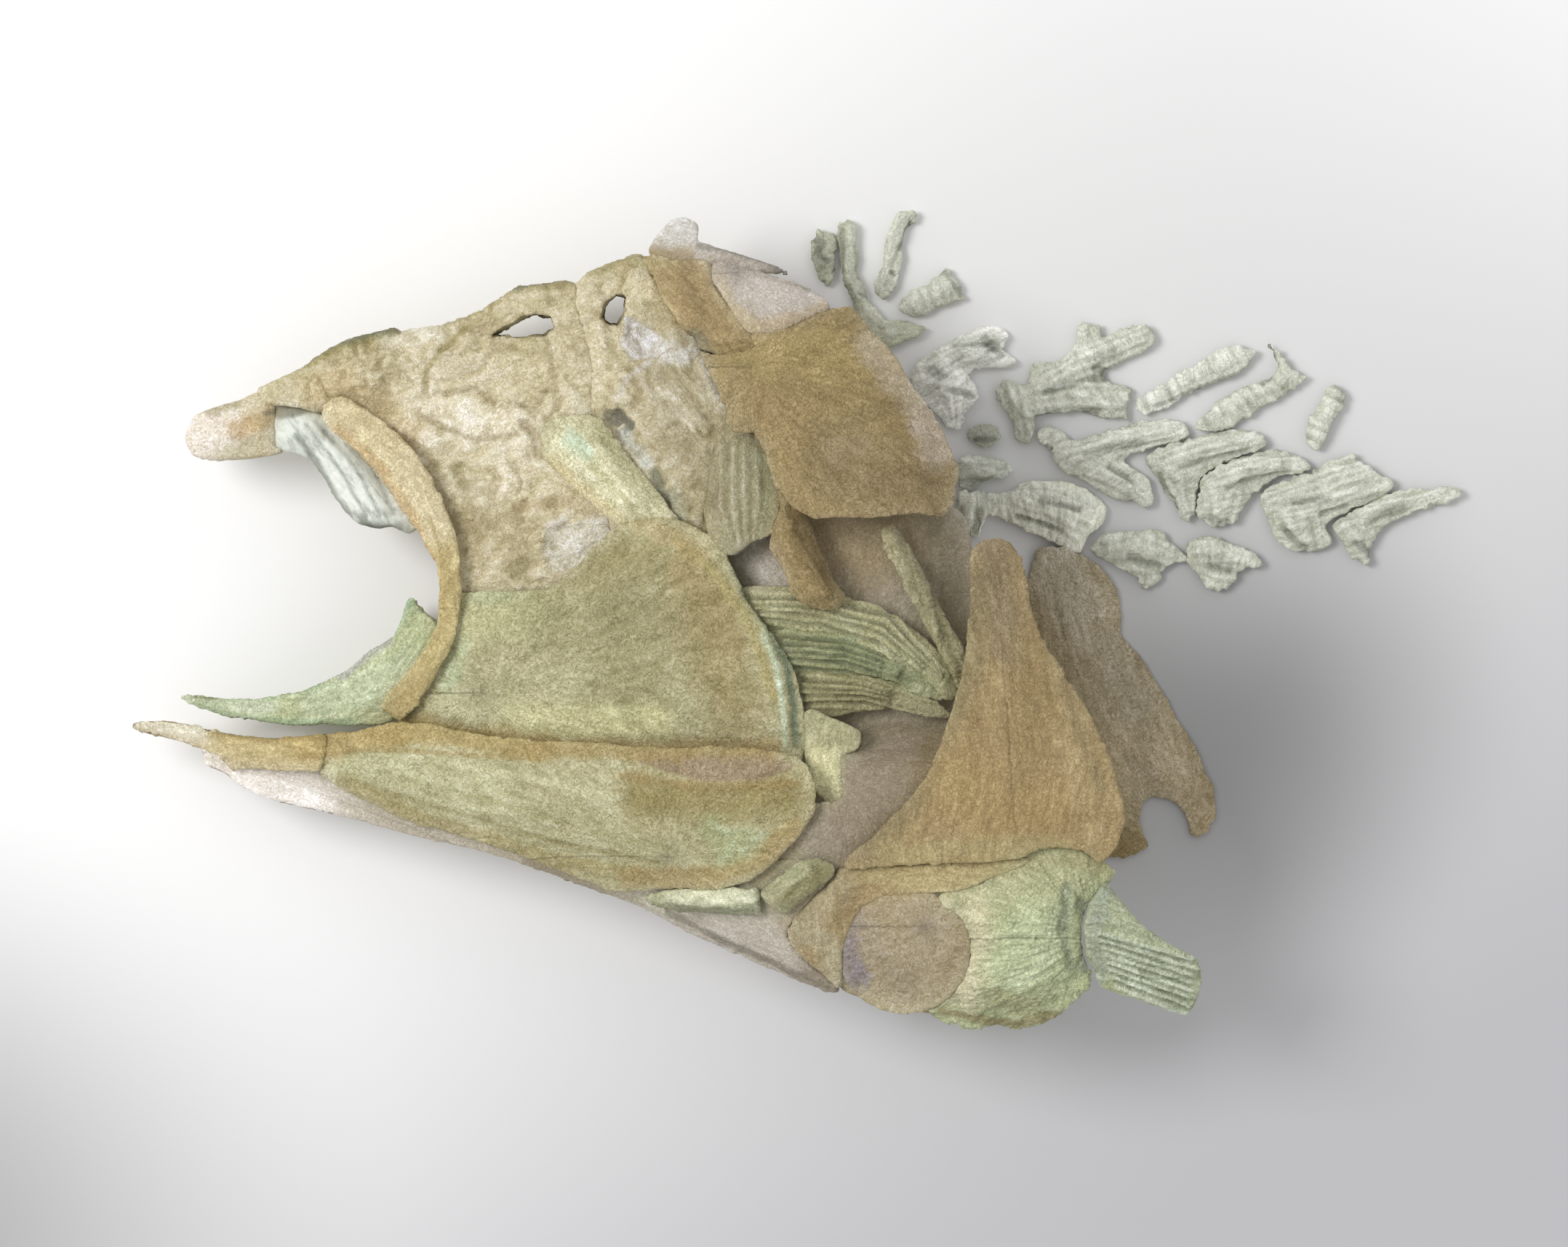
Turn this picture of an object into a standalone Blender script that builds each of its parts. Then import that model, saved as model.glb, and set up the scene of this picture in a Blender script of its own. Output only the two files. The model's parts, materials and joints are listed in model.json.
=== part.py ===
"""Fossil lobe-finned fish: skull, jaws, gill cover, shoulder girdle, fin and loose vertebral bones.

The fish lies on its right side. Sizes are in millimetres: -X points to the snout, +Y to the fish's back
and +Z, up, to its left side. Each bone is one closed solid, drawn as an outline seen from the left side,
with an upper and a lower surface over it. Bones of the head and girdle lie in layers along the flanks,
bones of the midline are slabs through the head, and the loose vertebral bones lie on the floor behind it.
"""

from collections import Counter
from dataclasses import dataclass

import bpy
import numpy as np
from mathutils import Vector, geometry, noise

MM = 0.001
TOUCH = 0.34  # gap that touching bones keep

# The head's envelope from snout to fin: back line, belly line, left half width and middle plane's height.
BACK = (
    (-112, 30), (-103, 36), (-90, 42), (-75, 49), (-60, 52), (-45, 57), (-25, 63), (0, 62),
    (20, 48), (40, 22), (75, 4),
)
BELLY = (
    (-112, -22), (-103, -24), (-75, -34), (-45, -41), (-30, -47), (0, -60), (15, -66), (34, -70),
    (75, -66),
)
LEFT_HALF_WIDTH = (
    (-112, 3.2), (-100, 8), (-80, 14), (-60, 19), (-40, 23), (-20, 26), (0, 28), (25, 28), (60, 23),
    (80, 18),
)
RIGHT_REACH = ((-112, 1.4), (-103, 8), (-92, 16), (-82, 40))
MIDDLE = ((-112, 13), (0, 26.5), (80, 26.5))
BACK_ROUNDING = 0.75
BELLY_ROUNDING = 0.9
PRESSED_ROUNDING = 0.35  # the right flank is pressed flat against the rock
PRESSED_WIDTH = 1.12
ROOF_ARCH = 2.6  # how far the skull roof's edges curve inward
SKULL_HALF_WIDTH = ((-92, 5.5), (-75, 8), (-60, 12.5), (-40, 16), (-15, 19))

# Depth of each layer of bones below the flank's surface, down to the gills and the wall under them.
# Then the usual thickness of a bone, of its rim, and the width over which it rises to full thickness.
OUTER = 0.0
CHEEK = 2.6
INNER = 4.9
GILLS = 7.4
GILL_WALL = 12.2
THICK = 2.1
RIM = 0.8
TAPER = 7.0

# Loose bones: thickness at the rim, the ridge's height, the width over which it rises, the rim's lift
# and the step between the points of an outline.
LOOSE_RIM = 1.0
LOOSE_RISE = 2.7
LOOSE_TAPER = 3.4
LOOSE_LIFT = 0.7
LOOSE_STEP = 2.2


@dataclass(frozen=True)
class Finish:
    """The colour of one kind of bone."""

    name: str
    colour: tuple
    roughness: float = 0.8


TAN = Finish("tan_bone", (0.60, 0.50, 0.32, 1))
OCHRE = Finish("ochre_bone", (0.55, 0.35, 0.14, 1))
GREEN = Finish("green_bone", (0.43, 0.45, 0.22, 1))
MINT = Finish("mint_bone", (0.48, 0.58, 0.36, 1))
BROWN = Finish("brown_bone", (0.33, 0.24, 0.11, 1))
MAUVE = Finish("mauve_bone", (0.45, 0.37, 0.34, 1))
GREY = Finish("grey_bone", (0.44, 0.46, 0.38, 1))


def along(table, x):
    """Reads a table of (x, value) pairs at x, with straight lines between them."""
    return np.interp(x, [pair[0] for pair in table], [pair[1] for pair in table])


def smooth_step(value):
    """Eases from 0 to 1 as the value goes from 0 to 1."""
    t = np.clip(value, 0.0, 1.0)
    return t * t * (3.0 - 2.0 * t)


def height_share(x, y):
    """Place between the belly line, -1, and the back line, +1."""
    back = along(BACK, x)
    belly = along(BELLY, x)
    return np.clip((2.0 * y - back - belly) / (back - belly), -1.0, 1.0)


def flank(x, y):
    """Half width of the head on its left side."""
    share = height_share(x, y)
    rounding = np.where(share > 0, BACK_ROUNDING, BELLY_ROUNDING)
    return along(LEFT_HALF_WIDTH, x) * np.sqrt(1.0 - rounding * share**2)


def left(depth):
    """Surface at this depth below the left flank. It stops at the middle plane."""
    return lambda x, y: along(MIDDLE, x) + np.maximum(flank(x, y) - depth, TOUCH / 2)


def under_gills(y):
    """Depth of the lower gill cover, which steps down to pass under the gill arches."""
    return CHEEK + (GILL_WALL - CHEEK) * smooth_step((y + 25.0) / 7.5)


def right(depth):
    """Surface at this depth above the right flank, which the floor presses flat."""

    def surface(x, y):
        middle = along(MIDDLE, x)
        reach = np.minimum(middle * PRESSED_WIDTH, along(RIGHT_REACH, x))
        width = reach * np.sqrt(1.0 - PRESSED_ROUNDING * height_share(x, y) ** 2)
        return np.minimum(np.maximum(middle - width, 0.0) + depth, middle - TOUCH / 2)

    return surface


def smooth_outline(points, step):
    """Closed smooth curve through the points, with a point about every step."""
    corners = [Vector(point) for point in points]
    count = len(corners)
    curve = []
    for index in range(count):
        before, start, end, after = (corners[(index + shift) % count] for shift in (-1, 0, 1, 2))
        pieces = max(1, round((end - start).length / step))
        for piece in range(pieces):
            t = piece / pieces
            curve.append(
                start * (1.0 + t * t * (1.5 * t - 2.5))
                + end * (t * (0.5 + t * (2.0 - 1.5 * t)))
                + before * (-0.5 * t * (1.0 - t) ** 2)
                + after * (0.5 * t * t * (t - 1.0))
            )
    return np.array(curve)


def band(points, widths):
    """Outline of a bar along a centre line, with its width at each point."""
    line = np.array(points, dtype=float)
    tangent = np.gradient(line, axis=0)
    tangent /= np.linalg.norm(tangent, axis=1)[:, None]
    half = np.array(widths, dtype=float)[:, None] / 2.0
    side = np.stack((-tangent[:, 1], tangent[:, 0]), axis=1) * half
    return [tuple(point) for point in np.vstack((line + side, (line - side)[::-1]))]


def oval(centre, radius_x, radius_y, corners=8):
    """Outline of an oval."""
    angles = np.linspace(0.0, 2.0 * np.pi, corners, endpoint=False)
    return [(centre[0] + radius_x * np.cos(a), centre[1] + radius_y * np.sin(a)) for a in angles]


def moved(points, shift_x, shift_y, scale=1.0):
    """Outline scaled about its middle and shifted."""
    line = np.array(points, dtype=float)
    middle = line.mean(axis=0)
    return [tuple(point) for point in (line - middle) * scale + middle + (shift_x, shift_y)]


def grown(outline, gap):
    """Outline pushed outward by the gap, further at its corners so that its sides keep the gap."""
    run = np.roll(outline, -1, axis=0) - outline
    side = np.stack((run[:, 1], -run[:, 0]), axis=1) / np.linalg.norm(run, axis=1)[:, None]
    corner = side + np.roll(side, 1, axis=0)
    corner /= np.maximum(np.linalg.norm(corner, axis=1), 1e-6)[:, None]
    reach = gap / np.maximum(np.sum(corner * side, axis=1), 0.5)
    turn = np.sum(outline[:, 0] * np.roll(outline[:, 1], -1) - outline[:, 1] * np.roll(outline[:, 0], -1))
    return outline + corner * reach[:, None] * np.sign(turn)


def inside(points, outline):
    """Tells which points lie inside the closed outline."""
    x = points[:, 0][:, None]
    y = points[:, 1][:, None]
    start = outline[None]
    end = np.roll(outline, -1, axis=0)[None]
    crosses = (start[..., 1] > y) != (end[..., 1] > y)
    rise = np.where(end[..., 1] == start[..., 1], 1.0, end[..., 1] - start[..., 1])
    cut = start[..., 0] + (y - start[..., 1]) * (end[..., 0] - start[..., 0]) / rise
    return (np.sum(crosses & (x < cut), axis=1) % 2).astype(bool)


def distance(points, starts, ends):
    """Shortest distance from each point to the segments."""
    run = ends - starts
    length = np.maximum(np.sum(run * run, axis=1), 1e-9)
    offset = points[:, None] - starts[None]
    share = np.clip(np.sum(offset * run[None], axis=2) / length[None], 0.0, 1.0)
    nearest = offset - share[..., None] * run[None]
    return np.sqrt(np.min(np.sum(nearest * nearest, axis=2), axis=1))


def lattice(outline, spacing):
    """Points of a triangle pattern inside the outline."""
    low = outline.min(axis=0)
    high = outline.max(axis=0)
    rows = np.arange(low[1], high[1], spacing * 0.87)
    points = [
        (x + spacing * 0.5 * (row % 2), y)
        for row, y in enumerate(rows)
        for x in np.arange(low[0], high[0], spacing)
    ]
    return np.array(points)


def largest_patch(faces):
    """The biggest group of triangles joined by their edges."""
    owners = {}
    for index, face in enumerate(faces):
        for a, b in zip(face, face[1:] + face[:1]):
            owners.setdefault(frozenset((a, b)), []).append(index)
    neighbours = {index: set() for index in range(len(faces))}
    for pair in owners.values():
        for index in pair:
            neighbours[index].update(pair)
    groups = []
    waiting = set(neighbours)
    while waiting:
        group = set()
        edge = {waiting.pop()}
        while edge:
            group |= edge
            edge = set().union(*(neighbours[index] for index in edge)) - group
        waiting -= group
        groups.append(group)
    return [faces[index] for index in sorted(max(groups, key=len))]


def rim_edges(faces):
    """Edges that only one triangle has, in that triangle's direction."""
    edges = [(a, b) for face in faces for a, b in zip(face, face[1:] + face[:1])]
    count = Counter(frozenset(edge) for edge in edges)
    return [edge for edge in edges if count[frozenset(edge)] == 1]


def triangulate(outline, cuts, spacing):
    """Fills the outline outside the cuts: points, triangles and each point's distance to the rim."""
    loops = [outline, *cuts]
    points = [Vector(point) for loop in loops for point in loop]
    edges = []
    base = 0
    for loop in loops:
        edges += [(base + i, base + (i + 1) % len(loop)) for i in range(len(loop))]
        base += len(loop)
    inner = lattice(outline, spacing)
    keep = inside(inner, outline)
    for loop in cuts:
        keep &= ~inside(inner, loop)
    starts = np.vstack(loops)
    ends = np.vstack([np.roll(loop, -1, axis=0) for loop in loops])
    keep &= distance(inner, starts, ends) > spacing * 0.45
    points += [Vector(point) for point in inner[keep]]
    found = geometry.delaunay_2d_cdt(points, edges, [], 0, 1e-5)
    flat = np.array([tuple(point) for point in found[0]])
    faces = [list(face) for face in found[2]]
    centres = np.array([flat[face].mean(axis=0) for face in faces])
    wanted = inside(centres, outline)
    for loop in cuts:
        wanted &= ~inside(centres, loop)
    faces = largest_patch([face for face, want in zip(faces, wanted) if want])
    used = sorted({index for face in faces for index in face})
    renumber = {old: new for new, old in enumerate(used)}
    flat = flat[used]
    faces = [[renumber[index] for index in face] for face in faces]
    rim = np.array(rim_edges(faces))
    return flat, faces, distance(flat, flat[rim[:, 0]], flat[rim[:, 1]])


def material(finish):
    """The Blender material of a finish, made once."""
    made = bpy.data.materials.get(finish.name)
    if made is None:
        made = bpy.data.materials.new(finish.name)
        made.use_nodes = True
        shader = made.node_tree.nodes["Principled BSDF"]
        shader.inputs["Base Color"].default_value = finish.colour
        shader.inputs["Roughness"].default_value = finish.roughness
        shader.inputs["Metallic"].default_value = 0.0
    return made


def add_bone(name, flat, faces, upper, lower, finish):
    """Makes one closed bone from a flat pattern and the heights of its two faces."""
    count = len(flat)
    top = np.column_stack((flat, upper))
    bottom = np.column_stack((flat, lower))
    shell = [tuple(face) for face in faces]
    shell += [tuple(index + count for index in reversed(face)) for face in faces]
    for a, b in rim_edges(faces):
        shell += [(b, a, a + count), (b, a + count, b + count)]
    mesh = bpy.data.meshes.new(name)
    mesh.from_pydata([tuple(point * MM) for point in np.vstack((top, bottom))], [], shell)
    mesh.materials.append(material(finish))
    mesh.validate()
    bone = bpy.data.objects.new(name, mesh)
    bpy.context.scene.collection.objects.link(bone)
    return bone


def cut_loops(trims, step):
    """Outlines of the neighbours, grown by the gap that bones keep. An array is smooth already."""
    loops = [trim if isinstance(trim, np.ndarray) else smooth_outline(trim, step) for trim in trims]
    return [grown(loop, TOUCH) for loop in loops]


def left_plate(
    name, points, finish, depth=OUTER, thick=THICK, trims=(), step=2.8, spacing=5.2, taper=TAPER, rim=RIM
):
    """A bone of the left side, flat inside and rising outward from its rim. Its depth may change with y."""
    outline = smooth_outline(points, step)
    flat, faces, inset = triangulate(outline, cut_loops(trims, step), spacing)
    x, y = flat.T
    below = depth(y) if callable(depth) else depth
    lower = left(below + thick)(x, y)
    upper = lower + rim + (thick - rim) * smooth_step(inset / taper)
    return add_bone(name, flat, faces, upper, lower, finish)


def right_plate(
    name, points, finish, depth=OUTER, thick=THICK, trims=(), step=4.0, spacing=8.0, taper=TAPER, rim=RIM
):
    """A bone of the right side, which lies along the floor, in the mirrored layer."""
    outline = smooth_outline(points, step)
    flat, faces, inset = triangulate(outline, cut_loops(trims, step), spacing)
    x, y = flat.T
    lower = np.minimum(right(depth)(x, y), right(depth + thick)(x, y) - thick)
    upper = lower + rim + (thick - rim) * smooth_step(inset / taper)
    return add_bone(name, flat, faces, upper, lower, finish)


def belly_plate(name, points, belly_line, finish, side, step=3.4, spacing=7.0, trims=()):
    """A throat plate, from under the jaw down to the keel that both sides share at the middle plane."""
    slope = 2.0
    outline = smooth_outline(points, step)
    flat, faces, _ = triangulate(outline, cut_loops(trims, step), spacing)
    x, y = flat.T
    middle = along(MIDDLE, x)
    depth = CHEEK + TOUCH
    reach = left(depth)(x, y) - middle if side > 0 else middle - right(depth)(x, y)
    wall = np.clip(reach - TOUCH / 2, 0.6, np.hypot(1.0, slope))
    climb = TOUCH / 2 + wall + slope * np.maximum(y - along(belly_line, x), 0.0)
    outer = np.maximum(np.minimum(climb, reach), TOUCH / 2 + wall)
    inner = outer - wall
    if side > 0:
        return add_bone(name, flat, faces, middle + outer, middle + inner, finish)
    return add_bone(name, flat, faces, middle - inner, middle - outer, finish)


def bumps(x, y, size, seed):
    """Lumpy relief of spongy bone, between about -1 and 1."""
    return np.array([noise.noise(Vector((a / size, b / size, seed))) for a, b in zip(x, y)]) * 2.0


def skull_slab(name, points, finish, seed, trims=(), holes=(), dents=(), edge=1.2, cover=GILLS):
    """A block of the skull, right through the head: a broad roof, and lumpy sides under the cheek."""
    outline = smooth_outline(points, 3.2)
    cuts = cut_loops(trims, 3.2) + [smooth_outline(hole, 2.6) for hole in holes]
    flat, faces, inset = triangulate(outline, cuts, 4.2)
    x, y = flat.T
    below_roof = smooth_step((y - along(BACK, x) + 15.0) / 14.0)
    depth = cover - (cover - 0.6) * below_roof
    widest = along(SKULL_HALF_WIDTH, x)
    relief = 0.9 * bumps(x, y, 7.0, seed) * smooth_step(inset / 3.0)
    arch = ROOF_ARCH * (1.0 - smooth_step((along(BACK, x) - y) / 7.0))
    rounding = edge * (1.0 - smooth_step(inset / 2.5)) + arch
    left_half = np.minimum(widest + relief, flank(x, y) - depth) - rounding
    for centre, radius, deep in dents:
        near = np.hypot(x - centre[0], y - centre[1]) / radius
        left_half -= deep * (1.0 - smooth_step(near))
    middle = along(MIDDLE, x)
    clear = middle - right(GILLS)(x, y)
    right_half = np.minimum(np.minimum(widest + relief, flank(x, y) - depth), clear) - rounding
    return add_bone(name, flat, faces, middle + left_half, middle - right_half, finish)


def middle_slab(name, points, finish, half_width, step=3.2, spacing=5.0, trims=()):
    """A bone of the middle plane, of one half width with round edges."""
    outline = smooth_outline(points, step)
    flat, faces, inset = triangulate(outline, cut_loops(trims, step), spacing)
    x, y = flat.T
    half = half_width * (0.55 + 0.45 * smooth_step(inset / 3.0))
    middle = along(MIDDLE, x)
    return add_bone(name, flat, faces, middle + half, middle - half, finish)


def keel(name, points, finish, half_width, ends, trims=()):
    """A bone under the throat: a boat shape, narrow at both ends and along the belly line."""
    outline = smooth_outline(points, 3.2)
    flat, faces, inset = triangulate(outline, cut_loops(trims, 3.2), 3.0)
    x, y = flat.T
    share = np.clip((x - ends[0]) / (ends[1] - ends[0]), 0.0, 1.0)
    hull = half_width * np.sqrt(1.0 - 0.93 * (2.0 * share - 1.0) ** 2)
    rise = 0.3 + 0.7 * smooth_step((y - along(BELLY, x)) / 4.0)
    half = hull * rise * (0.7 + 0.3 * smooth_step(inset / 2.0))
    middle = along(MIDDLE, x)
    return add_bone(name, flat, faces, middle + half, middle - half, finish)


def loose_bone(name, points, trims=()):
    """A loose bone on the floor: a ridge that rises from its rim, with a small flat underneath."""
    outline = smooth_outline(points, LOOSE_STEP)
    flat, faces, inset = triangulate(outline, cut_loops(trims, LOOSE_STEP), 2.5)
    lower = LOOSE_LIFT * (1.0 - smooth_step(inset / 1.2))
    upper = lower + LOOSE_RIM + LOOSE_RISE * smooth_step(inset / LOOSE_TAPER)
    return add_bone(name, flat, faces, upper, lower, GREY)


# Outlines, seen from the left side.
SNOUT = (
    (-103, 32), (-101.4, 35.4), (-97.5, 37), (-93.4, 38), (-90.6, 39.6), (-87.5, 39), (-85.5, 35),
    (-85.2, 30.4), (-91, 29), (-97, 28.5), (-101.5, 29),
)
SKULL_FRONT = (
    (-90.4, 40), (-87, 41.5), (-83, 43.3), (-78, 46.5), (-72, 49), (-65, 50), (-56, 51.5),
    (-50, 54.5), (-46, 56.8), (-41, 57.4), (-35.8, 57.8), (-34, 50), (-32.5, 42), (-33, 34),
    (-30.5, 26), (-28.6, 14.2), (-33, 10.6), (-38, 5.4), (-45, 2.8), (-57, 2.6), (-58.6, 8),
    (-61, 18), (-65, 25), (-70, 31), (-76, 35), (-83, 37.5), (-88.5, 38),
)
SKULL_REAR = (
    (-35.8, 57.8), (-33, 60), (-28, 62), (-24.8, 63), (-22, 58), (-19, 53), (-15.5, 48.5),
    (-12.5, 42.5), (-10, 37), (-9.8, 33), (-12, 29), (-13, 24), (-13.6, 18), (-13, 12.6),
    (-20, 14.6), (-28.6, 14.2), (-30.5, 26), (-33, 34), (-32.5, 42), (-34, 50),
)
BRAINCASE_FLOOR = (
    (-57, 3), (-45, 3.2), (-38, 5.8), (-33, 11), (-28, 14.6), (-20, 15), (-13.4, 13), (-16, 8),
    (-24, 2), (-34, -2), (-44, -4.6), (-56, -5),
)
ROOF_REAR = (
    (-24.5, 62.6), (-19, 62), (-13.2, 62), (-12.8, 59), (-9.3, 54), (-6.5, 50.3), (-4.6, 47.5),
    (-10, 46), (-14.5, 46.8), (-18.5, 52.5), (-21.5, 57.5),
)
NUCHAL = (
    (-23, 63.8), (-21.8, 66), (-20.4, 68), (-19.3, 69.3), (-17, 69.4), (-15.1, 68.4), (-15.4, 65.4),
    (-12, 64.3), (-5, 62.3), (0.5, 60.2), (-6, 61), (-13, 61.2), (-19, 61.4),
)
VOMER = (
    (-87.4, 37.6), (-84, 39.6), (-76, 38.8), (-68, 35), (-62, 27), (-61, 18.6), (-64.6, 15.8),
    (-67.5, 17.2), (-70, 16.8), (-73, 17.5), (-75, 19.5), (-77, 22), (-79, 25.5), (-81, 28.5),
    (-84, 29.8), (-87.4, 30.4),
)
CHEEK_BAR = band(
    (
        (-78, 37), (-71, 32), (-66, 26.5), (-61.8, 20), (-58.9, 14.5), (-57.4, 9), (-57.4, 4),
        (-58, -1), (-60.5, -6), (-64, -11), (-67.5, -15.5),
    ),
    (4.5, 6.4, 7, 6, 4.6, 3.4, 3, 3, 3.4, 4, 4),
)
TEMPORAL = (
    (-12.2, 61.6), (-8, 60.9), (-3, 59.7), (1, 58.6), (4.2, 56.9), (7.6, 54.4), (5, 53), (0, 51),
    (-5.7, 50), (-9, 54.5), (-12, 59),
)
GILL_COVER = (
    (-5.2, 49.3), (-2.5, 50.1), (0.3, 50.7), (5, 52.7), (8, 54), (11, 54), (14, 51), (16.5, 48.5),
    (19, 45.5), (20.5, 42.5), (23, 39), (25, 36.5), (27, 33), (28.5, 29.5), (29.6, 26.5), (29, 21),
    (27.5, 18.5), (22, 19.2), (15, 18.4), (9, 18.6), (5, 18.4), (1.6, 20), (-1, 24), (-3, 29),
    (-5, 33), (-8.4, 33), (-11, 36), (-15, 44), (-14, 48),
)
HYOMANDIBULA = (
    (-13, 35), (-8, 36.5), (-3, 35), (-1.8, 29), (-0.8, 24), (-0.6, 19), (-2, 15.6), (-5.5, 14.4),
    (-8.5, 12.2), (-11.5, 11.8), (-14, 14), (-15, 24),
)
PREOPERCLE = (
    (-3.8, 36), (-1, 36), (0.2, 32), (1.6, 28), (3, 24), (3, 20), (4.6, 16), (6, 12), (7.6, 8.4),
    (10, 5), (9.6, 3), (5, 3), (1.2, 5.4), (0.8, 8), (-0.8, 10.6), (-2.4, 13), (-1.6, 17),
    (-0.4, 20), (-0.8, 24), (-2, 28.5), (-3, 32),
)
PALATE = (
    (-57, 4.6), (-50, 5.2), (-40, 5.8), (-37, 7.7), (-34, 11), (-31, 14.5), (-28, 16.8),
    (-20, 17.8), (-13, 15), (-10.5, 12), (-8.5, 8), (-6, 3.5), (-3, -0.5), (0, -5), (2, -10),
    (3.2, -15), (3.7, -20), (2.5, -23.8), (-5, -22.2), (-15, -22.7), (-25, -23.4), (-40, -23.4),
    (-55, -22.4), (-64, -19.8), (-66.5, -15), (-64, -9), (-60.5, -4), (-58.5, 0),
)
PALATE_FAN = (
    (-41, 34.4), (-36, 35.6), (-31.5, 34.8), (-28, 30), (-24, 25), (-20, 19.5), (-16.5, 15.5),
    (-18, 12.5), (-23, 13.5), (-29, 17.5), (-34, 22), (-38.5, 26), (-42, 30.5),
)
FRONT_BLADE = (
    (-104.5, -12.4), (-98, -13.4), (-93, -13.4), (-88, -12.9), (-83, -11.9), (-79, -10.4),
    (-75, -8.3), (-72, -5.8), (-69, -3.9), (-66.6, -2.2), (-65.2, 1), (-64.2, 4.4), (-62.6, 2),
    (-60.2, 0.2), (-59, -4), (-62, -9), (-65.5, -14), (-68, -16.8), (-74, -17.1), (-80, -17.2),
    (-86, -17), (-92, -16.3), (-97, -15.4), (-101, -14.2),
)
DENTARY = (
    (-112.4, -17.6), (-107, -17), (-102, -18.1), (-97, -19.2), (-90, -20.1), (-84, -20), (-79, -19.5),
    (-79.4, -22), (-80, -25.2), (-90, -24.6), (-95, -24.7), (-97, -22.6), (-103, -20.2), (-108, -19),
)
ANGULAR = (
    (-79, -19.5), (-74, -19), (-68, -17.6), (-62, -17.4), (-50, -19.8), (-38, -20.6), (-26, -21.2),
    (-18, -21.6), (-10, -21.4), (0, -22.4), (3.6, -24.6), (5.2, -28.6), (4.8, -32.5), (2.6, -36),
    (-4, -42.5), (-8, -44.5), (-14, -45.5), (-20, -45), (-26, -46), (-30, -45.5), (-40, -41.5),
    (-50, -37.7), (-60, -34.7), (-65, -33.5), (-73, -29.5), (-80, -25.2), (-79.4, -22),
)
QUADRATE = (
    (4, -15), (8, -16.4), (13, -18.8), (12.6, -21.4), (9.6, -22.4), (9.9, -26), (10.2, -29.5),
    (8, -31), (6.3, -29.3), (4.6, -26), (3.8, -21),
)
BELLY_LINE = (
    (-100, -21), (-99.5, -24), (-96, -25.6), (-93, -28), (-88, -30), (-75, -33), (-62, -36.5),
    (-51, -39), (-42, -42), (-30, -46.5), (-24, -48.6), (-18, -52), (-10, -55.6), (0, -60),
    (10, -63.4),
)
GULAR = (
    (-100, -20.9), (-99.5, -24), (-96, -25.5), (-93, -28), (-88, -30), (-75, -33), (-62, -36.5),
    (-51, -39), (-42, -42), (-30, -46.5), (-24, -48.5), (-18, -52), (-10, -55.5), (0, -60),
    (9, -63.2), (8.6, -60), (3.5, -57.4), (0.2, -53), (2.4, -49.4), (6.6, -45), (8.6, -42.6),
    (4, -40.8), (-3, -40.6), (-9, -40.6), (-16, -41), (-26, -41.5),
    (-40, -37.5), (-52, -33), (-66, -28), (-80, -22.6), (-90, -21.6),
)
HYOID_FRONT = (
    (-24, -46.9), (-20, -45.9), (-14, -46), (-5, -45.7), (-4.2, -47), (-3.9, -49.8), (-10, -49.6),
    (-20, -49),
)
HYOID_REAR = (
    (-4, -46.4), (3, -41), (6, -40.6), (8.4, -41.6), (8.3, -43), (4, -46.5), (0, -49.6),
    (-2, -48.2),
)
ARCH_UPPER = (
    (-9, 5), (-3, 6.2), (3, 5.8), (10, 4.4), (17, 2), (23, -2), (27.5, -6.5), (29.6, -12), (28, -13),
    (24, -9), (18, -5.6), (11, -2.4), (4, -0.8), (-3, -1), (-9, -1),
)
ARCH_MIDDLE = (
    (-4, -0.4), (4, -0.4), (11, -2), (18, -5.2), (23.6, -9), (27.4, -13), (24, -12.4), (17, -9.4),
    (10, -8.4), (3, -8), (-1, -8.4),
)
ARCH_LOWER = (
    (-1, -7.6), (5, -7.6), (11, -8.2), (18, -9.2), (23, -12), (26.4, -14), (29, -16), (24.5, -15.8),
    (18, -14.4), (12, -14.8), (7, -15.9), (1.5, -14),
)
GILL_RAY = band(
    ((17.6, 16.5), (20.4, 11), (23.4, 5), (26.4, -0.5), (29, -5), (30.2, -11)),
    (2.4, 3, 3.4, 3.4, 3.2, 2.2),
)
SUBOPERCLE = (
    (12, -17), (4, -15.5), (-2, -11), (-6, -5), (-9, 3), (-9.5, 11), (-8, 18), (-1, 20.5), (10, 21),
    (22, 21), (30, 19), (32, 12), (32.6, 0), (32, -10), (31, -20), (30, -26), (26, -32), (18, -38),
    (11, -42.5), (7, -43.5), (1, -43.5), (-5, -42.5), (-5, -37), (0, -33), (5, -31.5), (10, -29),
    (10, -22),
)
CLEITHRUM = (
    (33, 13), (36, 14.6), (38.5, 13.5), (41, 9), (42, 3), (43.5, -2), (47, -8), (51, -14),
    (54, -20), (57, -28), (58, -33), (56.8, -38), (54, -40.8), (51.5, -38.6), (46, -38), (40, -40),
    (33, -40.6), (22, -41), (10.5, -41.6), (14, -38), (20, -32), (25, -26), (28, -18), (31, -8),
    (32, 0), (32.2, 8),
)
CLAVICLE = (
    (9.6, -42.2), (14, -42), (24, -41.5), (34, -41), (42, -40.4), (36, -43), (30, -45.4), (22, -46),
    (15, -47), (11.5, -51), (10, -56), (9.6, -62.6), (7, -60), (3.6, -57.2), (0.6, -53), (4, -48.5),
    (8.4, -44),
)
BASAL_DISC = oval((20.6, -56.2), 11.2, 10.6, 12)
SCAPULOCORACOID = (
    (40, -40.6), (44, -38.6), (48, -38.4), (51, -38.8), (53.5, -40.8), (56.4, -42.6), (54, -45),
    (52, -48), (51, -52), (51.5, -57), (52.8, -60), (51.6, -62.4), (50, -64), (47, -66.5),
    (44, -68.4), (40, -69.4), (36, -68.6), (33, -69.2), (26, -67.6), (24, -62), (26, -54), (27, -47),
    (31.5, -44.8), (36, -43),
)
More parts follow.
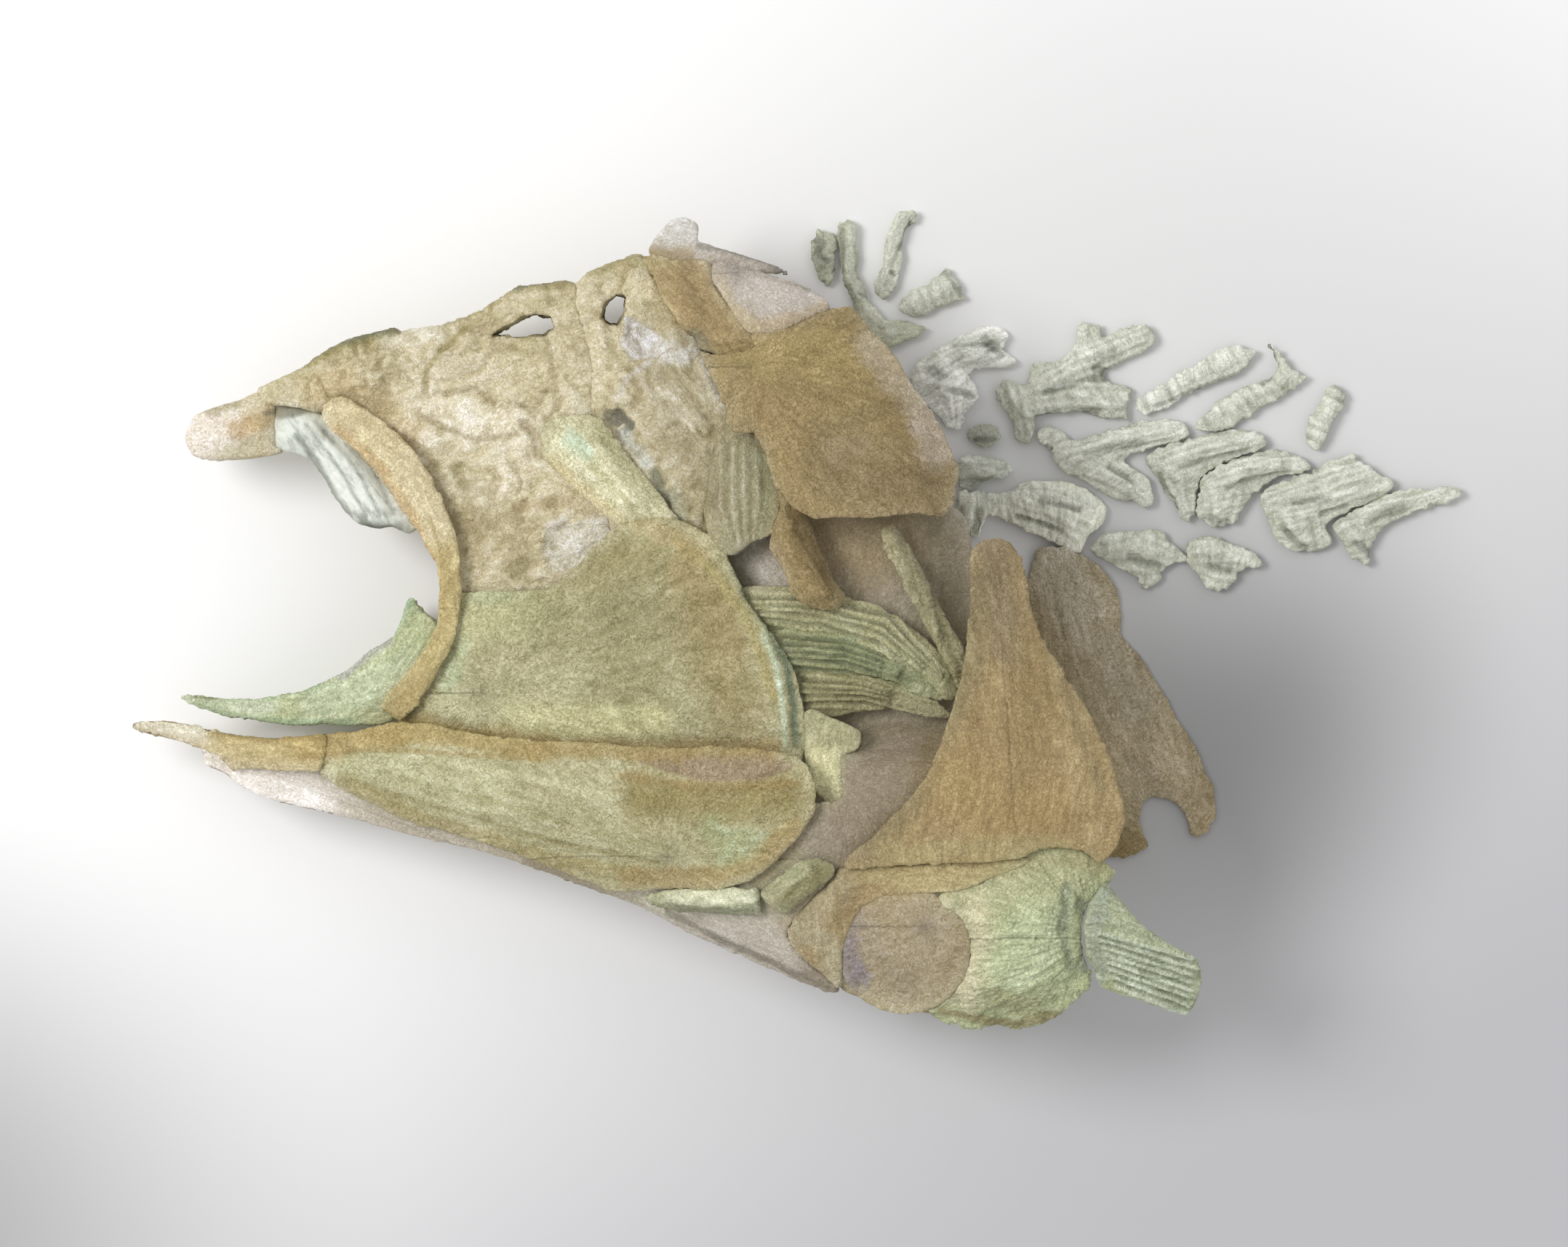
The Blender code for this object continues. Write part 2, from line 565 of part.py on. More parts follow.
BELLY_EDGE = (
    (9, -62), (14, -64), (20, -65.6), (27, -66.8), (33, -67.8), (40, -67.6), (45, -65.5), (40, -62),
    (30, -60.5), (20, -59), (12, -58.5),
)
RIGHT_GILL_COVER = (
    (-12, 61), (-3, 59.4), (4, 56.6), (12, 50.5), (17, 45), (19.5, 40), (23, 35), (26, 31),
    (27, 26), (27.4, 18), (30, 10), (31, 4), (31, -8), (30, -20), (26, -31), (19, -37), (10, -41.5),
    (0, -36), (-24, -26), (-24, -20), (-12, -8), (-12, 14), (-11, 30), (-10, 48),
)
RIGHT_PALATE = moved(PALATE, 1.0, 0.0, 0.96)
RIGHT_BLADE = moved(FRONT_BLADE, 0.8, 0.0, 0.97)
RIGHT_SCAPULOCORACOID = moved(SCAPULOCORACOID, -1.0, 1.0)
RIGHT_CLEITHRUM = (
    (44, 13), (49, 13), (54, 10), (57, 6), (57.5, 3), (58, -2), (62, -7), (64.5, -11), (68, -17),
    (71.5, -23), (74, -29), (74.6, -33), (73, -36), (70.5, -36.5), (69, -31.5), (64, -29.4),
    (61.8, -30.5), (61, -34), (62.3, -38.5), (59, -40), (52, -40), (40, -42), (28, -46), (20, -47),
    (13, -48), (10, -56), (8, -60), (4, -57), (2, -53), (10, -44), (26, -38), (30, -30), (36, -20),
    (39, -6), (42, 5),
)
FIN_ROOT = (
    (55, -44.6), (52.9, -48.2), (51.8, -52), (52.2, -56.4), (53.6, -60), (54.2, -61.4), (55.4, -62.4),
)
FIN_TIP = (
    (57.8, -48.2), (61.4, -52.2), (66, -55.3), (70.8, -58), (71.4, -61.4), (70.6, -64.4), (69.2, -66.8),
)
FIN_RAYS = 6
FIN_ROWS = 5

LOOSE_BONES = {
    "neck_centrum": (
        (4.6, 63.5), (4.5, 66), (5.8, 68), (8.8, 67), (8.9, 64), (9.2, 61), (8, 58.4), (6.4, 59),
    ),
    "neck_arch": (
        (9.3, 67.4), (9.4, 69.4), (12, 69.8), (12.3, 64), (12.7, 61), (14.2, 57.5), (15.4, 54.5),
        (17, 52.4), (22, 52), (24.8, 51), (23, 49.3), (20, 48.2), (16.6, 47.2), (15, 49.2),
        (13, 52.5), (11.4, 56), (10, 60), (9.6, 64),
    ),
    "neck_spine": (
        (20.5, 71.3), (22, 71.3), (23, 70.3), (22.8, 69), (21.3, 67.5), (20.4, 64), (20.1, 61.5),
        (19.3, 58.4), (17.4, 55.9), (15.9, 57.2), (16.6, 60), (17.2, 63.4), (17.9, 67), (19, 70),
    ),
    "spine_stub_1": (
        (19.5, 54), (20.4, 56.3), (25, 58.5), (28, 61.2), (29.6, 58.4), (31.2, 56.2), (26, 54.4),
        (22, 52.9),
    ),
    "arch_1": (
        (21.6, 42.6), (24, 45.2), (26.6, 47.2), (30, 49.4), (34, 51), (37.5, 51), (39.2, 49.4),
        (37.2, 47.6), (40, 45), (36, 44.2), (31.4, 43.4), (33.4, 39.8), (31.4, 36.4), (30.4, 33.6),
        (28, 33.8), (26.6, 36), (24.4, 38.4), (22.6, 40),
    ),
    "centrum_1": oval((34.4, 32.3), 3.1, 2.1),
    "rib_head_1": (
        (30.2, 23.6), (30.2, 26.8), (31.6, 28.6), (34.4, 28.8), (37.4, 28), (39.2, 26.6),
        (37.2, 25), (33.8, 23.6),
    ),
    "rib_arch_1": (
        (29.6, 21.4), (31, 22.6), (34, 22), (38, 22.2), (41, 24), (45, 24.6), (50, 24),
        (53.2, 22.4), (55.6, 20), (55.2, 17.2), (52.4, 15), (51, 12), (48, 13.5), (44, 15.3),
        (39, 17.4), (35, 18.8), (33.8, 15), (32, 14.8), (31.4, 18),
    ),
    "rib_arch_2": (
        (53, 13), (55, 15), (58, 15.6), (62, 16), (65.4, 15.8), (66.4, 13.6), (68.6, 12.4),
        (69.6, 11), (66.6, 10.4), (65, 9.2), (64, 7), (62, 5.7), (60.8, 8), (57, 10.2), (54, 11.8),
    ),
    "rib_arch_3": (
        (69.4, 13), (71, 14.4), (73.2, 15.3), (76, 14.5), (79, 13), (81, 11.6), (82.5, 10.2),
        (80, 9.8), (78.5, 8.8), (77.6, 7), (75.4, 5.8), (73, 6.2), (71.5, 8.2), (70.4, 10),
    ),
    "arch_2": (
        (36.7, 39.8), (38, 42.4), (42, 40.8), (43, 45), (47, 45.2), (50.5, 47.2), (51.4, 51.4),
        (54.6, 52), (55, 49.4), (58, 50.2), (62, 52), (64.2, 48.4), (60, 45.9), (55.4, 43.4),
        (56.6, 41.8), (60, 40.2), (58.6, 37.8), (59.6, 35.2), (54, 35.7), (48.4, 35.9), (43.6, 35),
        (42.4, 31.2), (40.3, 31.6), (39.4, 35),
    ),
    "spine_1": (
        (60.6, 37), (61, 38.8), (65, 41), (70, 44), (75, 47), (79, 47.9), (82, 47), (79.2, 43.6),
        (75, 41.6), (70, 39.5), (65.6, 37), (62, 35.9),
    ),
    "spine_2": (
        (71, 33.6), (73, 36), (77, 39), (82, 41.8), (84.9, 44.4), (83.6, 48.2), (86.2, 45.8),
        (88, 43.4), (90.5, 42.6), (87.6, 40.2), (83.4, 38), (78, 34.4), (74, 33.2),
    ),
    "spine_3": (
        (90, 31), (90.4, 33.6), (92.2, 37), (93.6, 40.6), (95.2, 41.5), (97, 39.5), (96.3, 37),
        (94.4, 34.4), (93.2, 31.2), (92, 29.8),
    ),
    "arch_3": (
        (46.8, 28.4), (46, 30.2), (43.8, 31), (43.7, 33.4), (45.8, 34.3), (47.9, 33.3), (49.6, 31.4),
        (53, 32.2), (57, 33.8), (60, 34.4), (64, 34.9), (68, 34.8),
        (70, 32.7), (66, 31.2), (62, 29.6), (58.6, 28.2), (60.6, 26.4), (63.2, 24.6), (64, 21.6),
        (62.4, 20), (60, 21.4), (57.2, 21.6), (54, 22.8), (52, 24.8), (48.4, 26),
    ),
    "arch_4": (
        (62.6, 28.4), (66, 30.6), (70, 31.6), (75, 32.8), (80, 33), (84, 31), (79, 29), (74.6, 27),
        (71.6, 24.6), (70.8, 21), (71, 18.6), (69.6, 17.6), (67.4, 19.4), (66, 22), (64.5, 25),
    ),
    "arch_5": (
        (72, 25), (75.4, 27.4), (79.4, 28.8), (84, 30), (88, 28.7), (91, 27), (89, 25.8),
        (84, 24.6), (81, 22.8), (79.4, 20), (77.6, 17.4), (74, 16.6), (71.6, 18),
    ),
    "arch_6": (
        (82, 22), (85, 24.2), (90, 25.8), (94, 27.6), (98, 29.4), (100.4, 27), (105.6, 24.4),
        (102, 21.4), (97, 19), (93.4, 17), (94.6, 14), (92.6, 12.5), (88, 12.5), (85.4, 13.6),
        (83.6, 18),
    ),
    "arch_7": (
        (94.4, 17), (97, 18.4), (101, 20.6), (105, 22.3), (111, 23.1), (117.4, 22.6), (114.6, 20.9),
        (109.6, 19.5), (104.6, 17.4), (101.8, 14.6), (100.6, 9.7), (98.2, 11.4), (96.4, 14.4),
    ),
}
# Each chain of arches overlaps like roof tiles: a bone is cut clear of those named after it.
LOOSE_TRIMS = {
    "spine_1": ("arch_2", "arch_3"),
    "spine_2": ("arch_4",),
    "spine_3": ("arch_6",),
    "arch_4": ("arch_3",),
    "arch_5": ("arch_4",),
    "arch_6": ("arch_5",),
    "arch_7": ("arch_6",),
    "rib_arch_1": ("rib_head_1",),
    "rib_arch_2": ("rib_arch_1",),
    "rib_arch_3": ("rib_arch_2",),
    "neck_centrum": ("neck_arch",),
}


def add_skull():
    """The blocks and plates of the head's middle plane."""
    middle_slab("snout", SNOUT, TAN, half_width=5.2, trims=(SKULL_FRONT, VOMER))
    skull_slab(
        "skull_front", SKULL_FRONT, TAN, seed=1.0, trims=(BRAINCASE_FLOOR, SKULL_REAR),
        holes=(
            ((-51, 49.3), (-47, 51.8), (-43, 53.7), (-39.6, 53.2), (-38.9, 50.6), (-42, 49), (-46.6, 48.7)),
        ),
        dents=(((-37, 13.6), 5.0, 2.4),),
    )
    skull_slab(
        "skull_rear", SKULL_REAR, TAN, seed=2.0, trims=(BRAINCASE_FLOOR,),
        holes=(((-31.8, 52.2), (-31, 55.4), (-29, 57), (-26.6, 56.6), (-27, 53.2), (-28.6, 50.7)),),
        dents=(((-24, 48.4), 4.2, 4.0), ((-27.8, 34.8), 2.4, 3.0)),
    )
    middle_slab("braincase_floor", BRAINCASE_FLOOR, TAN, half_width=9.0)
    skull_slab("skull_roof_rear", ROOF_REAR, OCHRE, seed=3.0, edge=0.6, cover=1.2, trims=(SKULL_REAR,))
    middle_slab("nuchal_plate", NUCHAL, MAUVE, half_width=2.0, trims=(ROOF_REAR, SKULL_REAR))
    middle_slab("vomer", VOMER, GREY, half_width=4.5, trims=(SKULL_FRONT,))


def add_left_side():
    """The bones of the left side, which faces up, from the gill cover to the palate."""
    left_plate("temporal_left", TEMPORAL, MAUVE, trims=(ROOF_REAR,), thick=1.6, taper=4.0)
    left_plate("gill_cover_left", GILL_COVER, BROWN, trims=(TEMPORAL, ROOF_REAR, SKULL_REAR))
    left_plate("preopercle_left", PREOPERCLE, BROWN, depth=CHEEK, thick=4.4, spacing=2.6, taper=1.4)
    left_plate(
        "hyomandibula_left", HYOMANDIBULA, TAN, depth=4.6, thick=7.0,
        trims=(PREOPERCLE, SKULL_REAR, PALATE), spacing=4.0, taper=3.5, rim=5.4,
    )
    left_plate("cheek_bar_left", CHEEK_BAR, OCHRE, depth=CHEEK, thick=1.9, spacing=2.6, taper=1.6)
    left_plate("palate_left", PALATE, GREEN, depth=INNER, trims=(FRONT_BLADE,))
    left_plate("palate_fan_left", PALATE_FAN, GREEN, depth=3.0, thick=4.0, trims=(PALATE,), taper=4.0)
    left_plate("front_blade_left", FRONT_BLADE, MINT, depth=INNER, thick=1.6, step=3.0, taper=3.0)
    left_plate("dentary_left", DENTARY, OCHRE, thick=1.9, step=2.8, spacing=3.6, taper=2.4, rim=1.6)
    left_plate("angular_left", ANGULAR, GREEN, trims=(DENTARY,))
    left_plate("quadrate_left", QUADRATE, MINT, depth=1.0, thick=5.5, trims=(ANGULAR, PALATE), taper=2.4)
    belly_plate("gular_left", GULAR, BELLY_LINE, MAUVE, side=1, trims=(CLAVICLE,))
    left_plate("hyoid_front_left", HYOID_FRONT, MINT, thick=2.2, trims=(ANGULAR,), spacing=2.2, taper=1.2)
    rear_trims = (ANGULAR, HYOID_FRONT, CLAVICLE)
    left_plate("hyoid_rear_left", HYOID_REAR, MINT, thick=2.2, trims=rear_trims, spacing=2.4, taper=1.2)
    arches = (ARCH_UPPER, ARCH_MIDDLE, ARCH_LOWER)
    names = ("gill_arch_upper_left", "gill_arch_middle_left", "gill_arch_lower_left")
    for index, (name, finish) in enumerate(zip(names, (GREEN, MINT, GREEN))):
        left_plate(
            name, arches[index], finish, depth=GILLS, thick=2.6,
            trims=arches[:index], spacing=2.6, taper=2.2,
        )
    left_plate("gill_ray_left", GILL_RAY, GREEN, depth=GILLS, trims=arches, spacing=1.9, taper=1.1)
    subopercle_trims = (QUADRATE, GULAR, CLAVICLE)
    left_plate(
        "subopercle_left", SUBOPERCLE, MAUVE, depth=under_gills, thick=1.8,
        trims=subopercle_trims, spacing=4.4,
    )


def add_left_girdle():
    """The shoulder girdle and the fin of the left side."""
    left_plate("cleithrum_left", CLEITHRUM, OCHRE, trims=(SCAPULOCORACOID,))
    left_plate("clavicle_left", CLAVICLE, OCHRE, depth=1.0, thick=2.4, trims=(CLEITHRUM,), taper=2.6)
    left_plate("basal_disc_left", BASAL_DISC, TAN, depth=1.0, thick=2.4, trims=(CLAVICLE,))
    left_plate("scapulocoracoid_left", SCAPULOCORACOID, MINT, thick=3.6, trims=(CLAVICLE, BASAL_DISC))
    keel("girdle_keel", BELLY_EDGE, TAN, half_width=7.0, ends=(6.0, 48.0), trims=(CLAVICLE, GULAR))
    add_fin()


def add_fin():
    """The pectoral fin: a flat fan whose rays are ridges in its own surface."""
    rows = 2 * FIN_RAYS + 1
    share = np.linspace(0.0, 1.0, rows)
    at = [np.linspace(0.0, 1.0, len(line)) for line in (FIN_ROOT, FIN_TIP)]
    root, tip = (
        np.column_stack([np.interp(share, place, np.array(line)[:, axis]) for axis in (0, 1)])
        for place, line in zip(at, (FIN_ROOT, FIN_TIP))
    )
    steps = np.linspace(0.0, 1.0, FIN_ROWS + 1)
    flat = np.array([root[i] + (tip[i] - root[i]) * step for i in range(rows) for step in steps])
    faces = []
    for i in range(rows - 1):
        for j in range(FIN_ROWS):
            corner = i * (FIN_ROWS + 1) + j
            above = corner + FIN_ROWS + 1
            faces += [[corner, above, above + 1], [corner, above + 1, corner + 1]]
    x, y = flat.T
    out = np.tile(steps, rows)
    ridge = np.repeat(np.arange(rows) % 2, FIN_ROWS + 1)
    lower = left(THICK + 1.4)(x, y)
    upper = lower + 1.2 + 1.5 * (1.0 - out) + 0.9 * ridge
    add_bone("pectoral_fin_left", flat, faces, upper, lower, MINT)


def loose_near(*names):
    """Smooth outlines of the loose bones of these names."""
    return [smooth_outline(LOOSE_BONES[name], LOOSE_STEP) for name in names]


def add_right_side():
    """The bones of the right side, on which the fish lies."""
    cover_trims = (ANGULAR, RIGHT_CLEITHRUM, *loose_near("arch_1", "rib_arch_1"))
    right_plate("gill_cover_right", RIGHT_GILL_COVER, MAUVE, trims=cover_trims)
    cheek_bar = moved(CHEEK_BAR, 0.8, 0.0, 0.97)
    right_plate("cheek_bar_right", cheek_bar, OCHRE, depth=CHEEK, thick=2.0, spacing=2.4, taper=1.3)
    right_plate("palate_right", RIGHT_PALATE, MAUVE, depth=INNER, trims=(RIGHT_BLADE,))
    right_plate("front_blade_right", RIGHT_BLADE, MINT, depth=INNER, thick=1.6, taper=3.0)
    right_plate("dentary_right", DENTARY, OCHRE, thick=1.9, spacing=4.0, taper=2.4, rim=1.6)
    right_plate("angular_right", ANGULAR, GREEN, trims=(DENTARY,))
    belly_plate(
        "gular_right", GULAR, BELLY_LINE, MAUVE, side=-1, trims=(RIGHT_CLEITHRUM,), step=4.5, spacing=9.0
    )
    cleithrum_trims = (RIGHT_SCAPULOCORACOID, *loose_near("rib_arch_1", "rib_arch_2"))
    right_plate("cleithrum_right", RIGHT_CLEITHRUM, BROWN, trims=cleithrum_trims, step=3.4, spacing=7.0)
    right_plate("scapulocoracoid_right", RIGHT_SCAPULOCORACOID, MINT, thick=4.5)


def add_loose_bones():
    """The vertebral arches, spines and centra that lie behind the head."""
    for name, outline in LOOSE_BONES.items():
        trims = [LOOSE_BONES[other] for other in LOOSE_TRIMS.get(name, ())]
        loose_bone(name, outline, trims=trims)


def centre_on_floor():
    """Moves all bones so that the middle of the floor area they cover is at the origin."""
    bones = [item for item in bpy.context.scene.objects if item.type == "MESH"]
    corners = np.array([tuple(vertex.co) for bone in bones for vertex in bone.data.vertices])
    low = corners.min(axis=0)
    high = corners.max(axis=0)
    shift = Vector((-(low[0] + high[0]) / 2, -(low[1] + high[1]) / 2, -low[2]))
    for bone in bones:
        for vertex in bone.data.vertices:
            vertex.co += shift


def main():
    for item in list(bpy.data.objects):
        bpy.data.objects.remove(item)
    add_skull()
    add_left_side()
    add_left_girdle()
    add_right_side()
    add_loose_bones()
    centre_on_floor()


main()
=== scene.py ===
"""Looks of a fossil lobe-finned fish: skull, jaws, gill cover, shoulder, fin and loose vertebral bones.

Every bone is a finely surfaced copy of its solid. Places on the fish are drawing millimetres, seen from the
fish's left side: X to the tail, Y to the back, with the origin in the middle of the view.
"""

from __future__ import annotations

import itertools
import json
import logging
import math
from dataclasses import dataclass, field
from enum import Enum, IntEnum

import bpy
import numpy as np
from mathutils.kdtree import KDTree
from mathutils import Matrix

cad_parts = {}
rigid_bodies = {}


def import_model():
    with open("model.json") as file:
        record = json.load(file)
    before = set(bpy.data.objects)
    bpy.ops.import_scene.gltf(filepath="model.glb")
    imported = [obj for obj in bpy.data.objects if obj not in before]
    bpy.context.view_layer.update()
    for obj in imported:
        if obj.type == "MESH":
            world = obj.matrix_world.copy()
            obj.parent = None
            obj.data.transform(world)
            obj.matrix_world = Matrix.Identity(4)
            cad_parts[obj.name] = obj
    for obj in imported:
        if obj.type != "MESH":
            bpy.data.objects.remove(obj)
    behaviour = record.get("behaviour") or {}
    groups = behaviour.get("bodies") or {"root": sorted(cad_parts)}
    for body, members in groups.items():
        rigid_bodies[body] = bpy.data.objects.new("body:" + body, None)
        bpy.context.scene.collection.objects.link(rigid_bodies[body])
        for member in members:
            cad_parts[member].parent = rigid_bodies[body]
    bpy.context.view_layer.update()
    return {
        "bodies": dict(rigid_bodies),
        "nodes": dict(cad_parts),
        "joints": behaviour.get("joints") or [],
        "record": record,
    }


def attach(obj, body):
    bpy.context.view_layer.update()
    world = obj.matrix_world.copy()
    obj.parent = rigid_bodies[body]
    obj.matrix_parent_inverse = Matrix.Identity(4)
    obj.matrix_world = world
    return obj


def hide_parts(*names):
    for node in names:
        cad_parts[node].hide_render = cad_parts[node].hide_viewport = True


LOG = logging.getLogger("fossil_fish")

MM = 0.001
DRAWING_SHIFT = (-2.5, -0.95)  # from drawing to model, in millimetres
GROUP_SEEDS = 1000  # how many seeds each group of bones has

# A noise is turned, so that it follows no axis, and each seed's starts some cells from the last one's.
NOISE_TURN = np.array(((0.36, 0.48, -0.8), (-0.8, 0.6, 0.0), (0.48, 0.64, 0.6)))
NOISE_STRIDE = 31.7
HASH_STEPS = np.array((73856093, 19349663, 83492791), dtype=np.uint64)
HASH_SEED = 2654435761
HASH_TWIST = np.uint64(1274126177)
LOW_BITS = 0xFFFF

# Sockets of a colour mix: how much of the second colour, both colours, and the result.
MIX_SHARE, MIX_FIRST, MIX_SECOND, MIX_RESULT = 0, 6, 7, 2
# An sRGB value is straight up to the bend, and a curve above it.
SRGB_BEND, SRGB_SLOPE, SRGB_OFFSET, SRGB_POWER = 0.04045, 12.92, 0.055, 2.4

Pair = tuple[float, float]
Triple = tuple[float, float, float]
Points = tuple[Pair, ...]


def linear(colour: str) -> Triple:
    """Turn an sRGB hex colour to linear light.

    Args:
        colour: six hex digits with a leading hash.

    Returns:
        Red, green and blue between 0 and 1.
    """
    parts = [int(colour[index : index + 2], 16) / 255.0 for index in (1, 3, 5)]
    red, green, blue = (
        part / SRGB_SLOPE if part <= SRGB_BEND else ((part + SRGB_OFFSET) / (1.0 + SRGB_OFFSET)) ** SRGB_POWER
        for part in parts
    )
    return red, green, blue


def add_node(tree: bpy.types.NodeTree, kind: str, inputs: dict, **settings: object) -> bpy.types.Node:
    """Add one node to a tree.

    Args:
        tree: the node tree.
        kind: the node's type name.
        inputs: value or linked socket for each input, by name or number.
        **settings: the node's own properties.

    Returns:
        The new node.
    """
    node = tree.nodes.new(kind)
    for name, value in settings.items():
        setattr(node, name, value)
    for key, value in inputs.items():
        socket = node.inputs[key]
        if isinstance(value, bpy.types.NodeSocket):
            tree.links.new(value, socket)
        else:
            socket.default_value = value
    return node


def select_only(piece: bpy.types.Object) -> None:
    """Make one object the only selected and the active one."""
    bpy.ops.object.select_all(action="DESELECT")
    piece.select_set(True)
    bpy.context.view_layer.objects.active = piece


def apply_modifier(kind: str, **settings: object) -> None:
    """Add a modifier to the active object and apply it.

    Args:
        kind: the modifier's type.
        **settings: its properties.
    """
    piece = bpy.context.view_layer.objects.active
    modifier = piece.modifiers.new(kind.lower(), kind)
    for name, value in settings.items():
        setattr(modifier, name, value)
    bpy.ops.object.modifier_apply(modifier=modifier.name)


def ease(value: np.ndarray) -> np.ndarray:
    """Ease from 0 to 1 as the value goes from 0 to 1."""
    share = np.clip(value, 0.0, 1.0)
    return share * share * (3.0 - 2.0 * share)


def noise(places: np.ndarray, size: float, seed: int) -> np.ndarray:
    """Smooth noise between -1 and 1.

    Args:
        places: points in millimetres, one a row.
        size: millimetres between its random values.
        seed: which noise.

    Returns:
        One value for each point.
    """
    grid = places @ NOISE_TURN / size + NOISE_STRIDE * (seed + 1)
    cell = np.floor(grid).astype(np.int64)
    share = ease(grid - cell)
    total = np.zeros(len(places))
    for corner in itertools.product((0, 1), repeat=3):
        steps = (cell + corner).astype(np.uint64) * HASH_STEPS
        mixed = steps[:, 0] ^ steps[:, 1] ^ steps[:, 2] ^ np.uint64(HASH_SEED * (seed + 1))
        mixed = (mixed ^ (mixed >> np.uint64(13))) * HASH_TWIST
        mixed ^= mixed >> np.uint64(16)
        value = (mixed & np.uint64(LOW_BITS)).astype(float) / (LOW_BITS / 2) - 1.0
        weight = np.prod(np.where(np.array(corner) == 1, share, 1.0 - share), axis=1)
        total += value * weight
    return total


def blend(tint: np.ndarray, colour: str, weight: np.ndarray) -> None:
    """Mix a colour into each point's tint, by that point's weight from 0 to 1."""
    tint += weight[:, None] * (np.array(linear(colour)) - tint)


def store(mesh: bpy.types.Mesh, name: str, kind: str, key: str, values: np.ndarray) -> None:
    """Store one value or row for each vertex, for the bone's material to read."""
    attribute = mesh.attributes.new(name, kind, "POINT")
    attribute.data.foreach_set(key, values.astype(np.float32).ravel())


def bare_material(name: str) -> bpy.types.Material:
    """A new material whose tree has no nodes yet."""
    material = bpy.data.materials.new(name)
    material.use_nodes = True
    material.node_tree.nodes.clear()
    return material


def to_stroke(flat: np.ndarray, points: Points) -> np.ndarray:
    """Distance from each point of the drawing to a stroke.

    Args:
        flat: points, one a row.
        points: the stroke's line, or one point for a spot.

    Returns:
        Distances in millimetres.
    """
    line = np.array(points, dtype=float)
    if len(line) == 1:
        return np.linalg.norm(flat - line[0], axis=1)
    nearest = np.full(len(flat), np.inf)
    for start, end in zip(line[:-1], line[1:]):
        run = end - start
        share = np.clip((flat - start) @ run / max(run @ run, 1e-9), 0.0, 1.0)
        nearest = np.minimum(nearest, np.linalg.norm(flat - start - share[:, None] * run, axis=1))
    return nearest


def inside(flat: np.ndarray, points: Points) -> np.ndarray:
    """Whether each point of the drawing lies inside a closed outline.

    Args:
        flat: points, one a row.
        points: the outline's corners.

    Returns:
        One truth value for each point.
    """
    odd = np.zeros(len(flat), dtype=bool)
    for (x0, y0), (x1, y1) in zip(points, points[1:] + points[:1]):
        if y0 != y1:
            between = (flat[:, 1] > y0) != (flat[:, 1] > y1)
            odd ^= between & (flat[:, 0] < x0 + (flat[:, 1] - y0) * (x1 - x0) / (y1 - y0))
    return odd


class Spread(Enum):
    """How a bone's fibres run."""

    RADIAL = "out of a growth centre"
    ALONG = "along a line"
    ACROSS = "across a line"


class Draw(IntEnum):
    """Which of a bone's own noises each feature takes, counted from the bone's seed."""

    STREAKS = 0
    BUNDLES = 1
    LUMPS = 2
    SMALL_LUMPS = 3
    PITS = 4
    CHIPS = 7
    BITES = 8
    TEARS = 9
    CLOUDS = 10
    SMALL_CLOUDS = 11
    FOLD_DRIFT = 12
    FOLDS = 15
    SMALL_FOLDS = 16
    MARKS = 50


@dataclass(frozen=True)
class Growth:
    """The direction in which a bone grew, which its fibres follow.

    Along a bent line the nearest stretch rules. Sizes are in millimetres.
    """

    NEAR = 0.5  # within this a stretch's pull hardly changes
    FALL = 3  # power by which its pull falls further off
    RADIAN = 20.0  # what one radian about a growth centre counts as, across the fibres

    spread: Spread
    points: Points

    def direction(self, flat: np.ndarray) -> np.ndarray:
        """Unit vector of the fibres at each point of the drawing."""
        line = np.array(self.points, dtype=float)
        if self.spread is Spread.RADIAL:
            run = flat - line[0]
        else:
            run = np.zeros_like(flat)
            for start, end in zip(line[:-1], line[1:]):
                step = (end - start) / np.linalg.norm(end - start)
                gap = to_stroke(flat, (tuple(start), tuple(end)))
                run += step / (self.NEAR + gap[:, None]) ** self.FALL
        if self.spread is Spread.ACROSS:
            run = np.column_stack((-run[:, 1], run[:, 0]))
        return run / np.maximum(np.linalg.norm(run, axis=1), 1e-6)[:, None]

    def grain(self, flat: np.ndarray) -> np.ndarray:
        """Place along and across the fibres, in millimetres, at each point of the drawing."""
        line = np.array(self.points, dtype=float)
        if self.spread is Spread.RADIAL:
            run = flat - line[0]
            reach = np.linalg.norm(run, axis=1)
            return np.column_stack((reach, np.arctan2(run[:, 1], run[:, 0]) * self.RADIAN))
        axis = (line[-1] - line[0]) / np.linalg.norm(line[-1] - line[0])
        offset = flat - line[0]
        bow = np.sign(offset @ np.array((-axis[1], axis[0]))) * to_stroke(flat, self.points)
        if self.spread is Spread.ACROSS:
            return np.column_stack((bow, offset @ axis))
        return np.column_stack((offset @ axis, bow))


